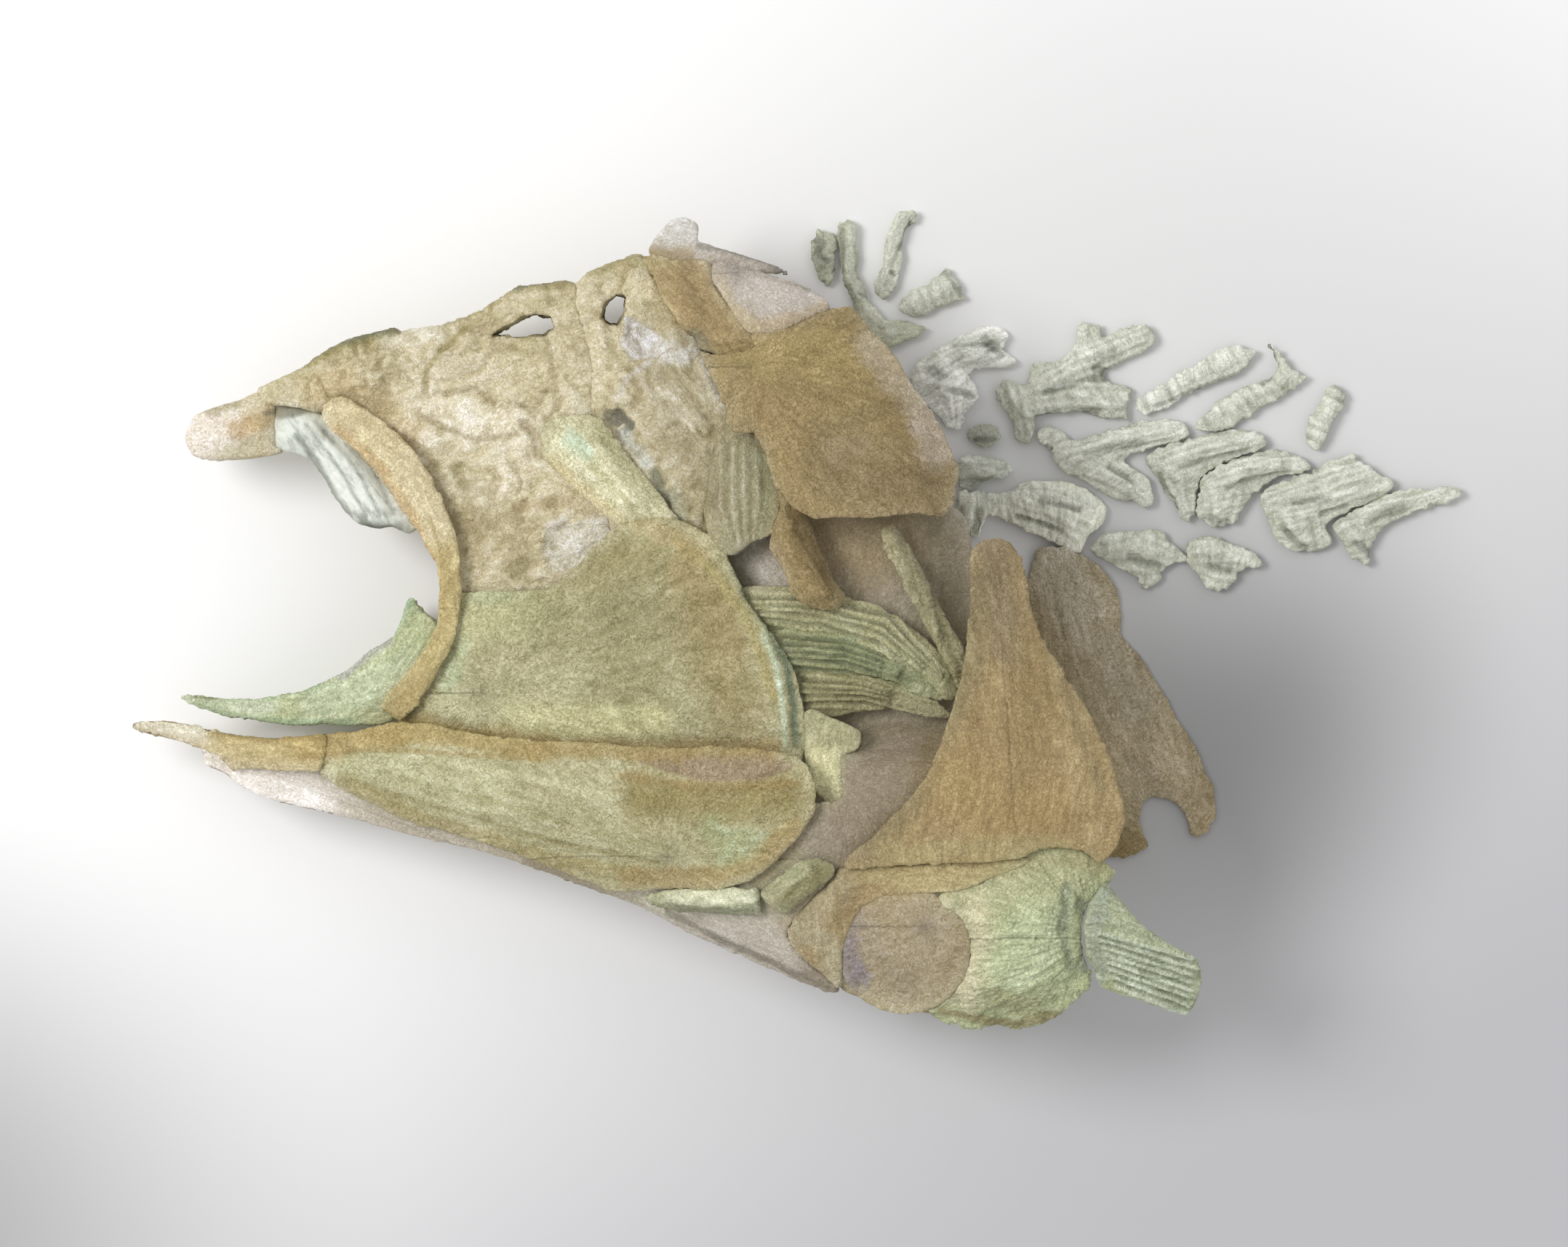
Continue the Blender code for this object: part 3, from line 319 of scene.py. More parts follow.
@dataclass(frozen=True)
class Relief:
    """The surface of one kind of bone. What is in capitals is the same on every bone.

    All sizes are in millimetres.
    """

    FIBRE_SAMPLES = 7  # places along a fibre whose noises are summed
    FIBRE_SPREAD = 1.6  # what their sum is divided by
    BUNDLE = (1.6, 2.4, 0.5)  # how much longer and wider than a fibre, and how much of it shows
    SMALL_LUMP = (2.2, 0.5)  # how much smaller than a lump, and how much of it shows
    FOLD = 2.6  # how steep a fold is
    SMALL_FOLD = (0.45, 1.1)  # its size as a share of a fold's, and how steep it is
    FOLD_DRIFT = (1.2, 0.55)  # size of the noise that bends the folds, and how far it bends them
    PIT_LEVEL = 0.25  # how far under its middle the noise makes a pit
    FINE_TONE = 1.5  # how much more the fine relief counts for the tone

    fibre_width: float = 0.5
    fibre_length: float = 3.0
    fibre_depth: float = 0.10
    lump_size: float = 5.0
    lump_height: float = 0.16
    fold_size: float = 4.6
    fold_height: float = 0.0
    pit_size: float = 0.9
    pit_depth: float = 0.12
    fray: float = 0.26
    fray_size: float = 0.8
    swell: float = 0.42
    tone: float = 0.6

    def folds(self, places: np.ndarray, seed: int) -> np.ndarray:
        """Soft round folds with sharp creases between them, from -1 to 1."""
        drift_size, drift_share = self.FOLD_DRIFT
        small_size, small_share = self.SMALL_FOLD
        seeds = [seed + Draw.FOLD_DRIFT + part for part in range(3)]
        drift = np.column_stack([noise(places, drift_size * self.fold_size, part) for part in seeds])
        warped = places + drift_share * self.fold_size * drift
        broad = np.abs(noise(warped, self.fold_size, seed + Draw.FOLDS))
        small = np.abs(noise(warped, small_size * self.fold_size, seed + Draw.SMALL_FOLDS))
        return np.clip(self.FOLD * broad + small_share * small - 1.0, -1.0, 1.0)

    def heights(self, places: np.ndarray, growth: Growth, seed: int) -> tuple[np.ndarray, np.ndarray]:
        """Height of the surface over the smooth bone.

        Args:
            places: points of the bone.
            growth: how its fibres run.
            seed: which noise.

        Returns:
            Heights in millimetres, and how deep or proud each point lies, between -1 and 1.
        """
        run = np.column_stack((growth.direction(places[:, :2]), np.zeros(len(places))))
        steps = np.linspace(-0.5, 0.5, self.FIBRE_SAMPLES) * self.fibre_length
        longer, wider, bundle_share = self.BUNDLE
        width = self.fibre_width
        streaks = sum(noise(places + step * run, width, seed + Draw.STREAKS) for step in steps)
        bundles = sum(
            noise(places + step * longer * run, width * wider, seed + Draw.BUNDLES) for step in steps
        )
        smaller, small_share = self.SMALL_LUMP
        lumps = noise(places, self.lump_size, seed + Draw.LUMPS)
        lumps += small_share * noise(places, self.lump_size / smaller, seed + Draw.SMALL_LUMPS)
        pits = np.minimum(noise(places, self.pit_size, seed + Draw.PITS) + self.PIT_LEVEL, 0.0)
        fibres = streaks / self.FIBRE_SPREAD + bundle_share * bundles
        fine = self.fibre_depth * fibres + self.pit_depth * pits
        large = self.lump_height * lumps
        if self.fold_height:
            large += self.fold_height * self.folds(places, seed)
        scale = max(self.fibre_depth + self.pit_depth, self.lump_height, self.fold_height)
        return fine + large, self.tone * np.clip((self.FINE_TONE * fine + large) / scale, -1.0, 1.0)


PLATE = Relief(fibre_depth=0.06)
THIN_PLATE = Relief(fibre_depth=0.03, lump_height=0.08, pit_depth=0.04, tone=0.4)
BAR = Relief(fibre_length=6.0, fibre_depth=0.11, lump_height=0.10)
SPONGE = Relief(
    fibre_width=0.6, fibre_length=1.6, fibre_depth=0.05, lump_size=9.0, lump_height=0.35,
    fold_size=3.1, fold_height=0.36, pit_size=1.2, pit_depth=0.2, fray=0.42, tone=0.9,
)
LEAF = Relief(
    fibre_width=0.42, fibre_length=3.2, fibre_depth=0.11, lump_size=4.0, lump_height=0.12,
    pit_size=0.8, pit_depth=0.12, fray=0.52, fray_size=0.7, swell=0.05, tone=0.7,
)
FEATHERED = Relief(fibre_width=0.5, fibre_length=3.0, fibre_depth=0.06, fray=0.4, fray_size=0.7, tone=0.5)


@dataclass(frozen=True)
class Mark:
    """A stroke or a filled patch of colour, of relief or of both on a bone.

    Its width counts from its line to one side. Width and height are in millimetres, strength is how much
    of the colour shows, and soft is how widely it fades. The border wanders by two noises, each with its
    share and its size, and less on a stroke wider than WANDER_REACH.
    """

    WANDER = ((0.3, 1.1), (0.35, 3.0))
    WANDER_REACH = 2.5

    points: Points
    width: float
    colour: str = ""
    strength: float = 0.7
    height: float = 0.0
    soft: float = 0.6
    filled: bool = False

    def cover(self, places: np.ndarray, seed: int) -> np.ndarray:
        """How much of the stroke each point has, from 0 to 1, with an uneven border."""
        flat = places[:, :2]
        reach = to_stroke(flat, self.points + self.points[: self.filled])
        if self.filled:
            reach[inside(flat, self.points)] = 0.0
        (fine_share, fine_size), (broad_share, broad_size) = self.WANDER
        wander = fine_share * noise(places, fine_size, seed)
        wander += broad_share * noise(places, broad_size, seed + 1)
        gap = reach / self.width + wander * min(1.0, self.WANDER_REACH / self.width)
        return 1.0 - ease((gap - 1.0 + self.soft) / (2.0 * self.soft))


def blot(points: Points, width: float, colour: str, strength: float, height: float = 0.0) -> Mark:
    """A stroke whose colour fades out widely."""
    return Mark(points, width, colour, strength, height, soft=0.9)


def strands(
    first: Points, last: Points, count: int, light: str, dark: str,
    width: float = 0.35, height: float = 0.26, strength: float = 0.75,
) -> tuple[Mark, ...]:
    """Thin lines side by side, the light ones proud and the dark ones sunk: their own tones, with painted
    highlight on the ridges and painted shade in the grooves.

    Args:
        first: the first line.
        last: the last line, with as many points.
        count: how many lines there are.
        light: colour of every other line, from the first on.
        dark: colour of the lines between.
        width: half the width of a line.
        height: how proud the light lines are.
        strength: how much of their colour shows.

    Returns:
        One mark for each line.
    """
    lines = []
    for index in range(count):
        share = index / (count - 1)
        points = tuple(
            (x0 + (x1 - x0) * share, y0 + (y1 - y0) * share) for (x0, y0), (x1, y1) in zip(first, last)
        )
        colour, rise = ((light, height), (dark, -height))[index % 2]
        lines.append(Mark(points, width, colour, strength, rise))
    return tuple(lines)


@dataclass(frozen=True)
class BoneFinish:
    """Mineralised bone, freed from its rock by acid and not varnished: matt, porous and fibrous.

    Streak, felt and cloud say how much of each pattern shows, and depth how much darker hollows are painted
    than flat
    bone: painted shade. Crests are lighter by the crest share of that: a painted highlight. Sizes are in
    millimetres.
    """

    slot: str
    base: str
    light: str
    dark: str
    rim: str
    streak: float = 0.24
    felt: float = 0.48
    cloud: float = 0.30
    depth: float = 0.40
    crest_highlight: float = 0.7
    roughness: float = 0.72
    rough_range: Pair = (-0.08, 0.12)
    bump: float = 0.75
    bump_height: float = 0.4
    felt_size: float = 0.95
    stain_size: float = 10.0
    ior: float = 1.6
    gloss: float = 0.25
    title: str = ""

    def share_of_base(self, colour: str) -> tuple[float, float, float, float]:
        """A colour as a share of the base colour, by which any tint of the bone is multiplied."""
        red, green, blue = (part / base for part, base in zip(linear(colour), linear(self.base)))
        return red, green, blue, 1.0

    def material(self) -> bpy.types.Material:
        """The finish's material, made once.

        Returns:
            A material that reads the bone's own tint, relief and grain.
        """
        name = f"mineralised_and_painted_shade_{self.title or self.slot}"
        made = bpy.data.materials.get(name)
        if made is not None:
            return made
        made = bare_material(name)
        tree = made.node_tree
        tint = add_node(tree, "ShaderNodeAttribute", {}, attribute_name="bone_tint").outputs["Color"]
        relief = add_node(tree, "ShaderNodeAttribute", {}, attribute_name="bone_relief").outputs["Fac"]
        grain = add_node(tree, "ShaderNodeAttribute", {}, attribute_name="bone_grain").outputs["Vector"]
        place = add_node(tree, "ShaderNodeTexCoord", {}).outputs["Object"]

        # Bundles of fibres. The grain counts in bundles, each 4 mm long and 0.9 mm wide.
        fibres = add_node(
            tree, "ShaderNodeTexNoise",
            {"Vector": grain, "Scale": 1.0, "Detail": 3.0, "Roughness": 0.6},
        ).outputs["Fac"]
        # A felt of short curled threads. Real ones are about 0.2 mm wide, and these are 0.5 mm to show.
        felt = add_node(
            tree, "ShaderNodeTexNoise",
            {
                "Vector": place, "Scale": 1.0 / (self.felt_size * MM), "Detail": 3.0, "Roughness": 0.62,
                "Distortion": 2.4,
            },
        ).outputs["Fac"]
        # Stains about 5 mm across, where minerals seeped in.
        stains = add_node(
            tree, "ShaderNodeTexNoise",
            {"Vector": place, "Scale": 1.0 / (self.stain_size * MM), "Detail": 5.0, "Roughness": 0.62},
        ).outputs["Fac"]

        # Each pattern darkens the tint towards one end of its range and lightens it towards the other.
        tones = (
            (self.dark, stains, 0.54, 0.76, self.cloud),
            (self.light, stains, 0.46, 0.26, self.cloud),
            (self.dark, fibres, 0.50, 0.70, self.streak),
            (self.light, fibres, 0.50, 0.32, self.streak),
            (self.dark, felt, 0.52, 0.66, self.felt),
            (self.light, felt, 0.52, 0.39, self.felt),
            # The last two follow the relief: painted shade in hollows, and a painted highlight on crests.
            (self.dark, relief, -0.10, -0.9, self.depth),
            (self.light, relief, 0.10, 0.9, self.crest_highlight * self.depth),
        )
        colour = tint
        for tone, source, low, high, amount in tones:
            shown = add_node(
                tree, "ShaderNodeMapRange", {"Value": source, "From Min": low, "From Max": high},
                interpolation_type="SMOOTHSTEP",
            ).outputs["Result"]
            share = add_node(
                tree, "ShaderNodeMath", {0: shown, 1: amount}, operation="MULTIPLY"
            ).outputs[0]
            colour = add_node(
                tree, "ShaderNodeMix",
                {MIX_SHARE: share, MIX_FIRST: colour, MIX_SECOND: self.share_of_base(tone)},
                data_type="RGBA", blend_type="MULTIPLY", clamp_factor=True,
            ).outputs[MIX_RESULT]
        least, most = self.rough_range
        rough = add_node(
            tree, "ShaderNodeMapRange",
            {"Value": felt, "To Min": self.roughness + least, "To Max": self.roughness + most},
        ).outputs["Result"]
        height = add_node(
            tree, "ShaderNodeMath", {0: fibres, 1: felt}, operation="SUBTRACT"
        ).outputs[0]
        bump = add_node(
            tree, "ShaderNodeBump",
            {"Strength": self.bump, "Distance": self.bump_height * MM, "Height": height}, invert=True,
        ).outputs["Normal"]
        shader = add_node(
            tree, "ShaderNodeBsdfPrincipled",
            {
                "Base Color": colour, "Roughness": rough, "Normal": bump, "IOR": self.ior,
                "Specular IOR Level": self.gloss,
            },
        )
        add_node(tree, "ShaderNodeOutputMaterial", {"Surface": shader.outputs["BSDF"]})
        return made


# Spongy bone with a crust of lime: pale and chalky, with olive painted into its hollows as shade.
TAN = BoneFinish(
    "tan_bone", base="#CABE99", light="#EEE6CE", dark="#8F7F55", rim="#BFB48C", streak=0.12, cloud=0.2
)
# Thick bone that iron oxide has soaked: a dull ochre.
OCHRE = BoneFinish("ochre_bone", base="#A08A62", light="#C4AF82", dark="#79653F", rim="#A8946A", streak=0.28)
# Flat jaw bone in green clay: olive, with paler fibres.
GREEN = BoneFinish(
    "green_bone", base="#B3AD85", light="#DAD6B3", dark="#757044", rim="#ADA47A", streak=0.2, felt=0.54
)
# Thin bone with copper salts: a light bluish green.
MINT = BoneFinish(
    "mint_bone", base="#B6BA8E", light="#DEE4BA", dark="#76815E", rim="#AEB390", streak=0.35, depth=0.35
)
# Plates that iron and manganese have darkened: brown.
BROWN = BoneFinish(
    "brown_bone", base="#978359", light="#B8A378", dark="#6A5A36", rim="#A08F68", streak=0.28, felt=0.54
)
# Thin bleached plates with a trace of manganese: greyish pink.
MAUVE = BoneFinish(
    "mauve_bone", base="#A09480", light="#C8BEB0", dark="#786C58", rim="#AA9E8A", streak=0.14, felt=0.36
)
# Small bones weathered in the open: pale grey, with painted shade in their cracks.
GREY = BoneFinish(
    "grey_bone", base="#CACCBC", light="#F0F2E6", dark="#787B68", rim="#AEB09E", streak=0.28, felt=0.33,
    depth=0.3,
)
# Dense smooth bone in fine layers, whose worn edges show as lines: pale grey with a cold tinge.
LAYERED = BoneFinish(
    "grey_bone", base="#DFE5DD", light="#F5F8F2", dark="#8C9186", rim="#C8CABE", streak=0.5, felt=0.08,
    depth=0.3, bump=0.25, title="layered_grey_bone",
)


@dataclass
class Stains:
    """Colours of the bones as seen from above, which run into each other where bones meet.

    The sheet has square cells, from its low corner on. Colours run over about the reach on each side of a
    seam, by the share at most. A point far enough under the top bone keeps its own colour.
    """

    cell: float = 0.5
    low: Pair = (-120.0, -80.0)
    cells: tuple[int, int] = (490, 320)
    reach: float = 1.9
    reach_cells: int = 9
    seam_gain: float = 3.0
    share: float = 0.9
    hidden: float = 3.0
    fade: float = 2.0
    coats: list[tuple[bpy.types.Mesh, np.ndarray, np.ndarray]] = field(default_factory=list)

    def add(self, mesh: bpy.types.Mesh, places: np.ndarray, tint: np.ndarray) -> None:
        """Note one bone's mesh, its points in the drawing and the colour of each."""
        self.coats.append((mesh, places.copy(), tint))

    def cells_of(self, places: np.ndarray) -> tuple[np.ndarray, np.ndarray]:
        """Column and row of the cell of each point."""
        at = ((places[:, :2] - self.low) / self.cell).astype(int)
        return at[:, 0], at[:, 1]

    def blurred(self, sheet: np.ndarray) -> np.ndarray:
        """A sheet of cells with each cell spread over its neighbours."""
        steps = np.arange(-self.reach_cells, self.reach_cells + 1) * self.cell
        kernel = np.exp(-0.5 * (steps / self.reach) ** 2)
        kernel /= kernel.sum()
        for axis in (0, 1):
            sheet = np.apply_along_axis(np.convolve, axis, sheet, kernel, "same")
        return sheet

    def run(self) -> None:
        """Let the colours of neighbours run together, and store each bone's tint on its mesh."""
        top = np.full(self.cells, -1.0)
        owner = np.full(self.cells, -1)
        colour = np.zeros((*self.cells, 3))
        for index, (_, places, tint) in enumerate(self.coats):
            order = np.argsort(places[:, 2])
            column, row = self.cells_of(places[order])
            above = places[order, 2] > top[column, row]
            column, row, order = column[above], row[above], order[above]
            top[column, row] = places[order, 2]
            owner[column, row] = index
            colour[column, row] = tint[order]
        covered = (owner >= 0).astype(float)
        seam = np.zeros(self.cells)
        for axis in (0, 1):
            other = np.roll(owner, 1, axis)
            seam += (other != owner) & (other >= 0) & (owner >= 0)
        amount = np.maximum(self.blurred(covered), 1e-3)
        mixed = np.dstack([self.blurred(colour[..., part] * covered) / amount for part in range(3)])
        near = np.clip(self.blurred(seam) * self.seam_gain, 0.0, 1.0) * self.share
        for mesh, places, tint in self.coats:
            column, row = self.cells_of(places)
            shown = ease((places[:, 2] - top[column, row] + self.hidden) / self.fade)
            weight = (near[column, row] * shown)[:, None]
            tint += weight * (mixed[column, row] - tint)
            store(mesh, "bone_tint", "FLOAT_COLOR", "color", np.column_stack((tint, np.ones(len(tint)))))


@dataclass(frozen=True)
class Bone:
    """One bone: the solid that it stands for, its finish, its fibres, its surface and its marks.

    The rim's tint, partly the edge's own colour and partly painted light against the shade along seams,
    reaches rim_width inwards, the mesh has cells of voxel, and crease says how sharp the solid's edges stay.
    What is in capitals is the same on every bone. Sizes are in millimetres.
    """

    DOUBLES_METRES = 1e-6
    CREASE_DEGREES = 38.0
    LEVELS = 3
    SMOOTHING = (0.5, 3)  # share and rounds
    WALL_SLOPE = 0.08  # an upright wall's normal rises by less than this
    RIM_STEP = 0.5  # between the places noted along a rim
    RELIEF_RIM = (0.35, 2.2)  # share of the relief on the rim, and how far in it is whole
    FRAY_RIM = 1.8  # how far in a rim frays
    LEAST_TURN = 0.3  # an outward run shorter than this isn't stretched to the full length
    TEAR = (1.8, 6.0)  # share and size of stretches with a torn rim
    BITE = (0.7, 3.0)  # share and size of bites out of the rim
    FLOOR_GAP = 0.02  # relief pushes no point lower than this over the floor
    GRAIN = (4.0, 0.9, 3.0)  # along, across and through the fibres
    CLOUD_SIZES = (9.0, 3.5)
    SMALL_CLOUD_SHARE = 0.6
    CLOUD_DEPTH = (0.22, 1.2)  # how much of it shows, and where it is full

    node: str
    finish: BoneFinish
    growth: Growth
    relief: Relief = PLATE
    marks: tuple[Mark, ...] = ()
    rim_width: float = 1.3
    rim_share: float = 0.35
    voxel: float = 0.38
    crease: float = 0.9

    def build(self, frame: dict, stains: Stains, seed: int) -> None:
        """Make the finished bone.

        Args:
            frame: the loaded model.
            stains: where its colours are noted.
            seed: which noise its surface takes.
        """
        piece, rim = self.rounded_copy(frame["nodes"][self.node])
        self.surface(piece, rim, stains, seed)
        piece.data.materials.append(self.finish.material())
        select_only(piece)
        bpy.ops.object.shade_smooth()
        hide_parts(self.node)
        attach(piece, "root")
        LOG.info("%s: %d faces", piece.name, len(piece.data.polygons))

    def rounded_copy(self, node: bpy.types.Object) -> tuple[bpy.types.Object, KDTree]:
        """Copy a solid, melt its facets and give it an even fine mesh.

        Args:
            node: the solid.

        Returns:
            The copy, and a tree of the places along its rim, in drawing millimetres.
        """
        name = f"{self.node}_surface"
        mesh = node.data.copy()
        mesh.name = name
        mesh.materials.clear()
        piece = bpy.data.objects.new(name, mesh)
        bpy.context.scene.collection.objects.link(piece)
        select_only(piece)
        bpy.ops.object.mode_set(mode="EDIT")
        bpy.ops.mesh.select_all(action="SELECT")
        bpy.ops.mesh.remove_doubles(threshold=self.DOUBLES_METRES)
        bpy.ops.mesh.select_all(action="DESELECT")
        bpy.ops.mesh.edges_select_sharp(sharpness=math.radians(self.CREASE_DEGREES))
        bpy.ops.transform.edge_crease(value=self.crease)
        bpy.ops.object.mode_set(mode="OBJECT")
        rim = self.rim_tree(mesh)
        apply_modifier("SUBSURF", levels=self.LEVELS, render_levels=self.LEVELS)
        apply_modifier("REMESH", mode="VOXEL", voxel_size=self.voxel * MM)
        share, rounds = self.SMOOTHING
        apply_modifier("SMOOTH", factor=share, iterations=rounds)
        return piece, rim

    def rim_tree(self, mesh: bpy.types.Mesh) -> KDTree:
        """Tree of places along the upright walls of a bone's rim, seen from above."""
        corners = np.array([tuple(vertex.co) for vertex in mesh.vertices]) / MM
        corners = corners[:, :2] - DRAWING_SHIFT
        places = []
        for face in mesh.polygons:
            if abs(face.normal.z) < self.WALL_SLOPE:
                for start, end in face.edge_keys:
                    run = corners[end] - corners[start]
                    count = int(np.linalg.norm(run) / self.RIM_STEP) + 1
                    places += [corners[start] + run * step / count for step in range(count + 1)]
        tree = KDTree(len(places))
        for index, (x, y) in enumerate(places):
            tree.insert((x, y, 0.0), index)
        tree.balance()
        return tree

    def surface(self, piece: bpy.types.Object, rim: KDTree, stains: Stains, seed: int) -> None:
        """Give a smooth bone its relief, ragged rim, tint and grain.

        Args:
            piece: the smooth bone.
            rim: places along its rim.
            stains: where its colours are noted.
            seed: which noise.
        """
        mesh = piece.data
        count = len(mesh.vertices)
        raw = np.empty(count * 3, dtype=np.float32)
        mesh.vertices.foreach_get("co", raw)
        places = raw.reshape(-1, 3).astype(float) / MM
        places[:, :2] -= DRAWING_SHIFT
        mesh.vertex_normals.foreach_get("vector", raw)
        normals = raw.reshape(-1, 3).astype(float)
        found = [rim.find((x, y, 0.0)) for x, y in places[:, :2]]
        nearest = np.array([tuple(item[0][:2]) for item in found])
        inset = np.array([item[2] for item in found])

        relief, proud = self.relief.heights(places, self.growth, seed)
        on_rim, rim_width = self.RELIEF_RIM
        height = relief * (on_rim + (1.0 - on_rim) * ease(inset / rim_width))
        for order, mark in enumerate(self.marks):
            if mark.height:
                height += mark.height * mark.cover(places, seed + Draw.MARKS + order)
        outward = normals[:, :2] + (nearest - places[:, :2])
        outward /= np.maximum(np.linalg.norm(outward, axis=1), self.LEAST_TURN)[:, None]
        tear_share, tear_size = self.TEAR
        torn = tear_share * np.abs(noise(places, tear_size, seed + Draw.TEARS))
        bite_share, bite_size = self.BITE
        ragged = torn * noise(places, self.relief.fray_size, seed + Draw.CHIPS)
        ragged += bite_share * noise(places, bite_size, seed + Draw.BITES)
        reach = (self.relief.swell + self.relief.fray * ragged) * (1.0 - ease(inset / self.FRAY_RIM))
        moved = places + normals * height[:, None]
        moved[:, :2] += outward * reach[:, None]
        floor = np.minimum(places[:, 2], self.FLOOR_GAP)
        moved[:, 2] = np.maximum(moved[:, 2], floor)

        tint = self.tint(places, inset, seed)
        grain = np.column_stack((self.growth.grain(places[:, :2]), places[:, 2])) / self.GRAIN
        store(mesh, "bone_relief", "FLOAT", "value", proud)
        store(mesh, "bone_grain", "FLOAT_VECTOR", "vector", grain)
        stains.add(mesh, moved, tint)
        moved[:, :2] += DRAWING_SHIFT
        mesh.vertices.foreach_set("co", (moved * MM).astype(np.float32).ravel())
        mesh.update()

    def tint(self, places: np.ndarray, inset: np.ndarray, seed: int) -> np.ndarray:
        """The bone's own colour.

        Args:
            places: its points in the drawing.
            inset: each point's distance from the rim.
            seed: which noise.

        Returns:
            Linear red, green and blue of each point.
        """
        finish = self.finish
        tint = np.tile(linear(finish.base), (len(places), 1))
        size, small_size = self.CLOUD_SIZES
        cloud = noise(places, size, seed + Draw.CLOUDS)
        cloud += self.SMALL_CLOUD_SHARE * noise(places, small_size, seed + Draw.SMALL_CLOUDS)
        depth, full = self.CLOUD_DEPTH
        blend(tint, finish.light, depth * ease(cloud / full))
        blend(tint, finish.dark, depth * ease(-cloud / full))
        # The rim colour is partly the edge's own colour and partly painted light that lightens the shade
        # along seams.
        blend(tint, finish.rim, (1.0 - ease(inset / self.rim_width)) * self.rim_share)
        for order, mark in enumerate(self.marks):
            if mark.colour:
                blend(tint, mark.colour, mark.strength * mark.cover(places, seed + Draw.MARKS + order))
        return tint


def radial(x: float, y: float) -> Growth:
    """Fibres that run out of a growth centre."""
    return Growth(Spread.RADIAL, ((x, y),))


def along(*points: Pair) -> Growth:
    """Fibres that follow a line."""
    return Growth(Spread.ALONG, points)


def across(*points: Pair) -> Growth:
    """Fibres that cross a line."""
    return Growth(Spread.ACROSS, points)


@dataclass
class BoneGroup:
    """A part of the skeleton, made of several bones."""

    title: str
    bones: list[Bone] = field(default_factory=list)
    seed_step: int = 20

    def add(
        self, node: str, finish: BoneFinish, growth: Growth, relief: Relief, *marks: Mark, **shape: float
    ) -> None:
        """List one more bone, with its marks, and its mesh and rim where they aren't the usual ones."""
        self.bones.append(Bone(node, finish, growth, relief, marks, **shape))

    def build(self, frame: dict, stains: Stains, seed: int) -> None:
        """Build the group's bones.

        Args:
            frame: the loaded model.
            stains: where their colours are noted.
            seed: which noise the first bone takes.
        """
        for index, bone in enumerate(self.bones):
            bone.build(frame, stains, seed + self.seed_step * index)
        LOG.info("%s: %d bones", self.title, len(self.bones))


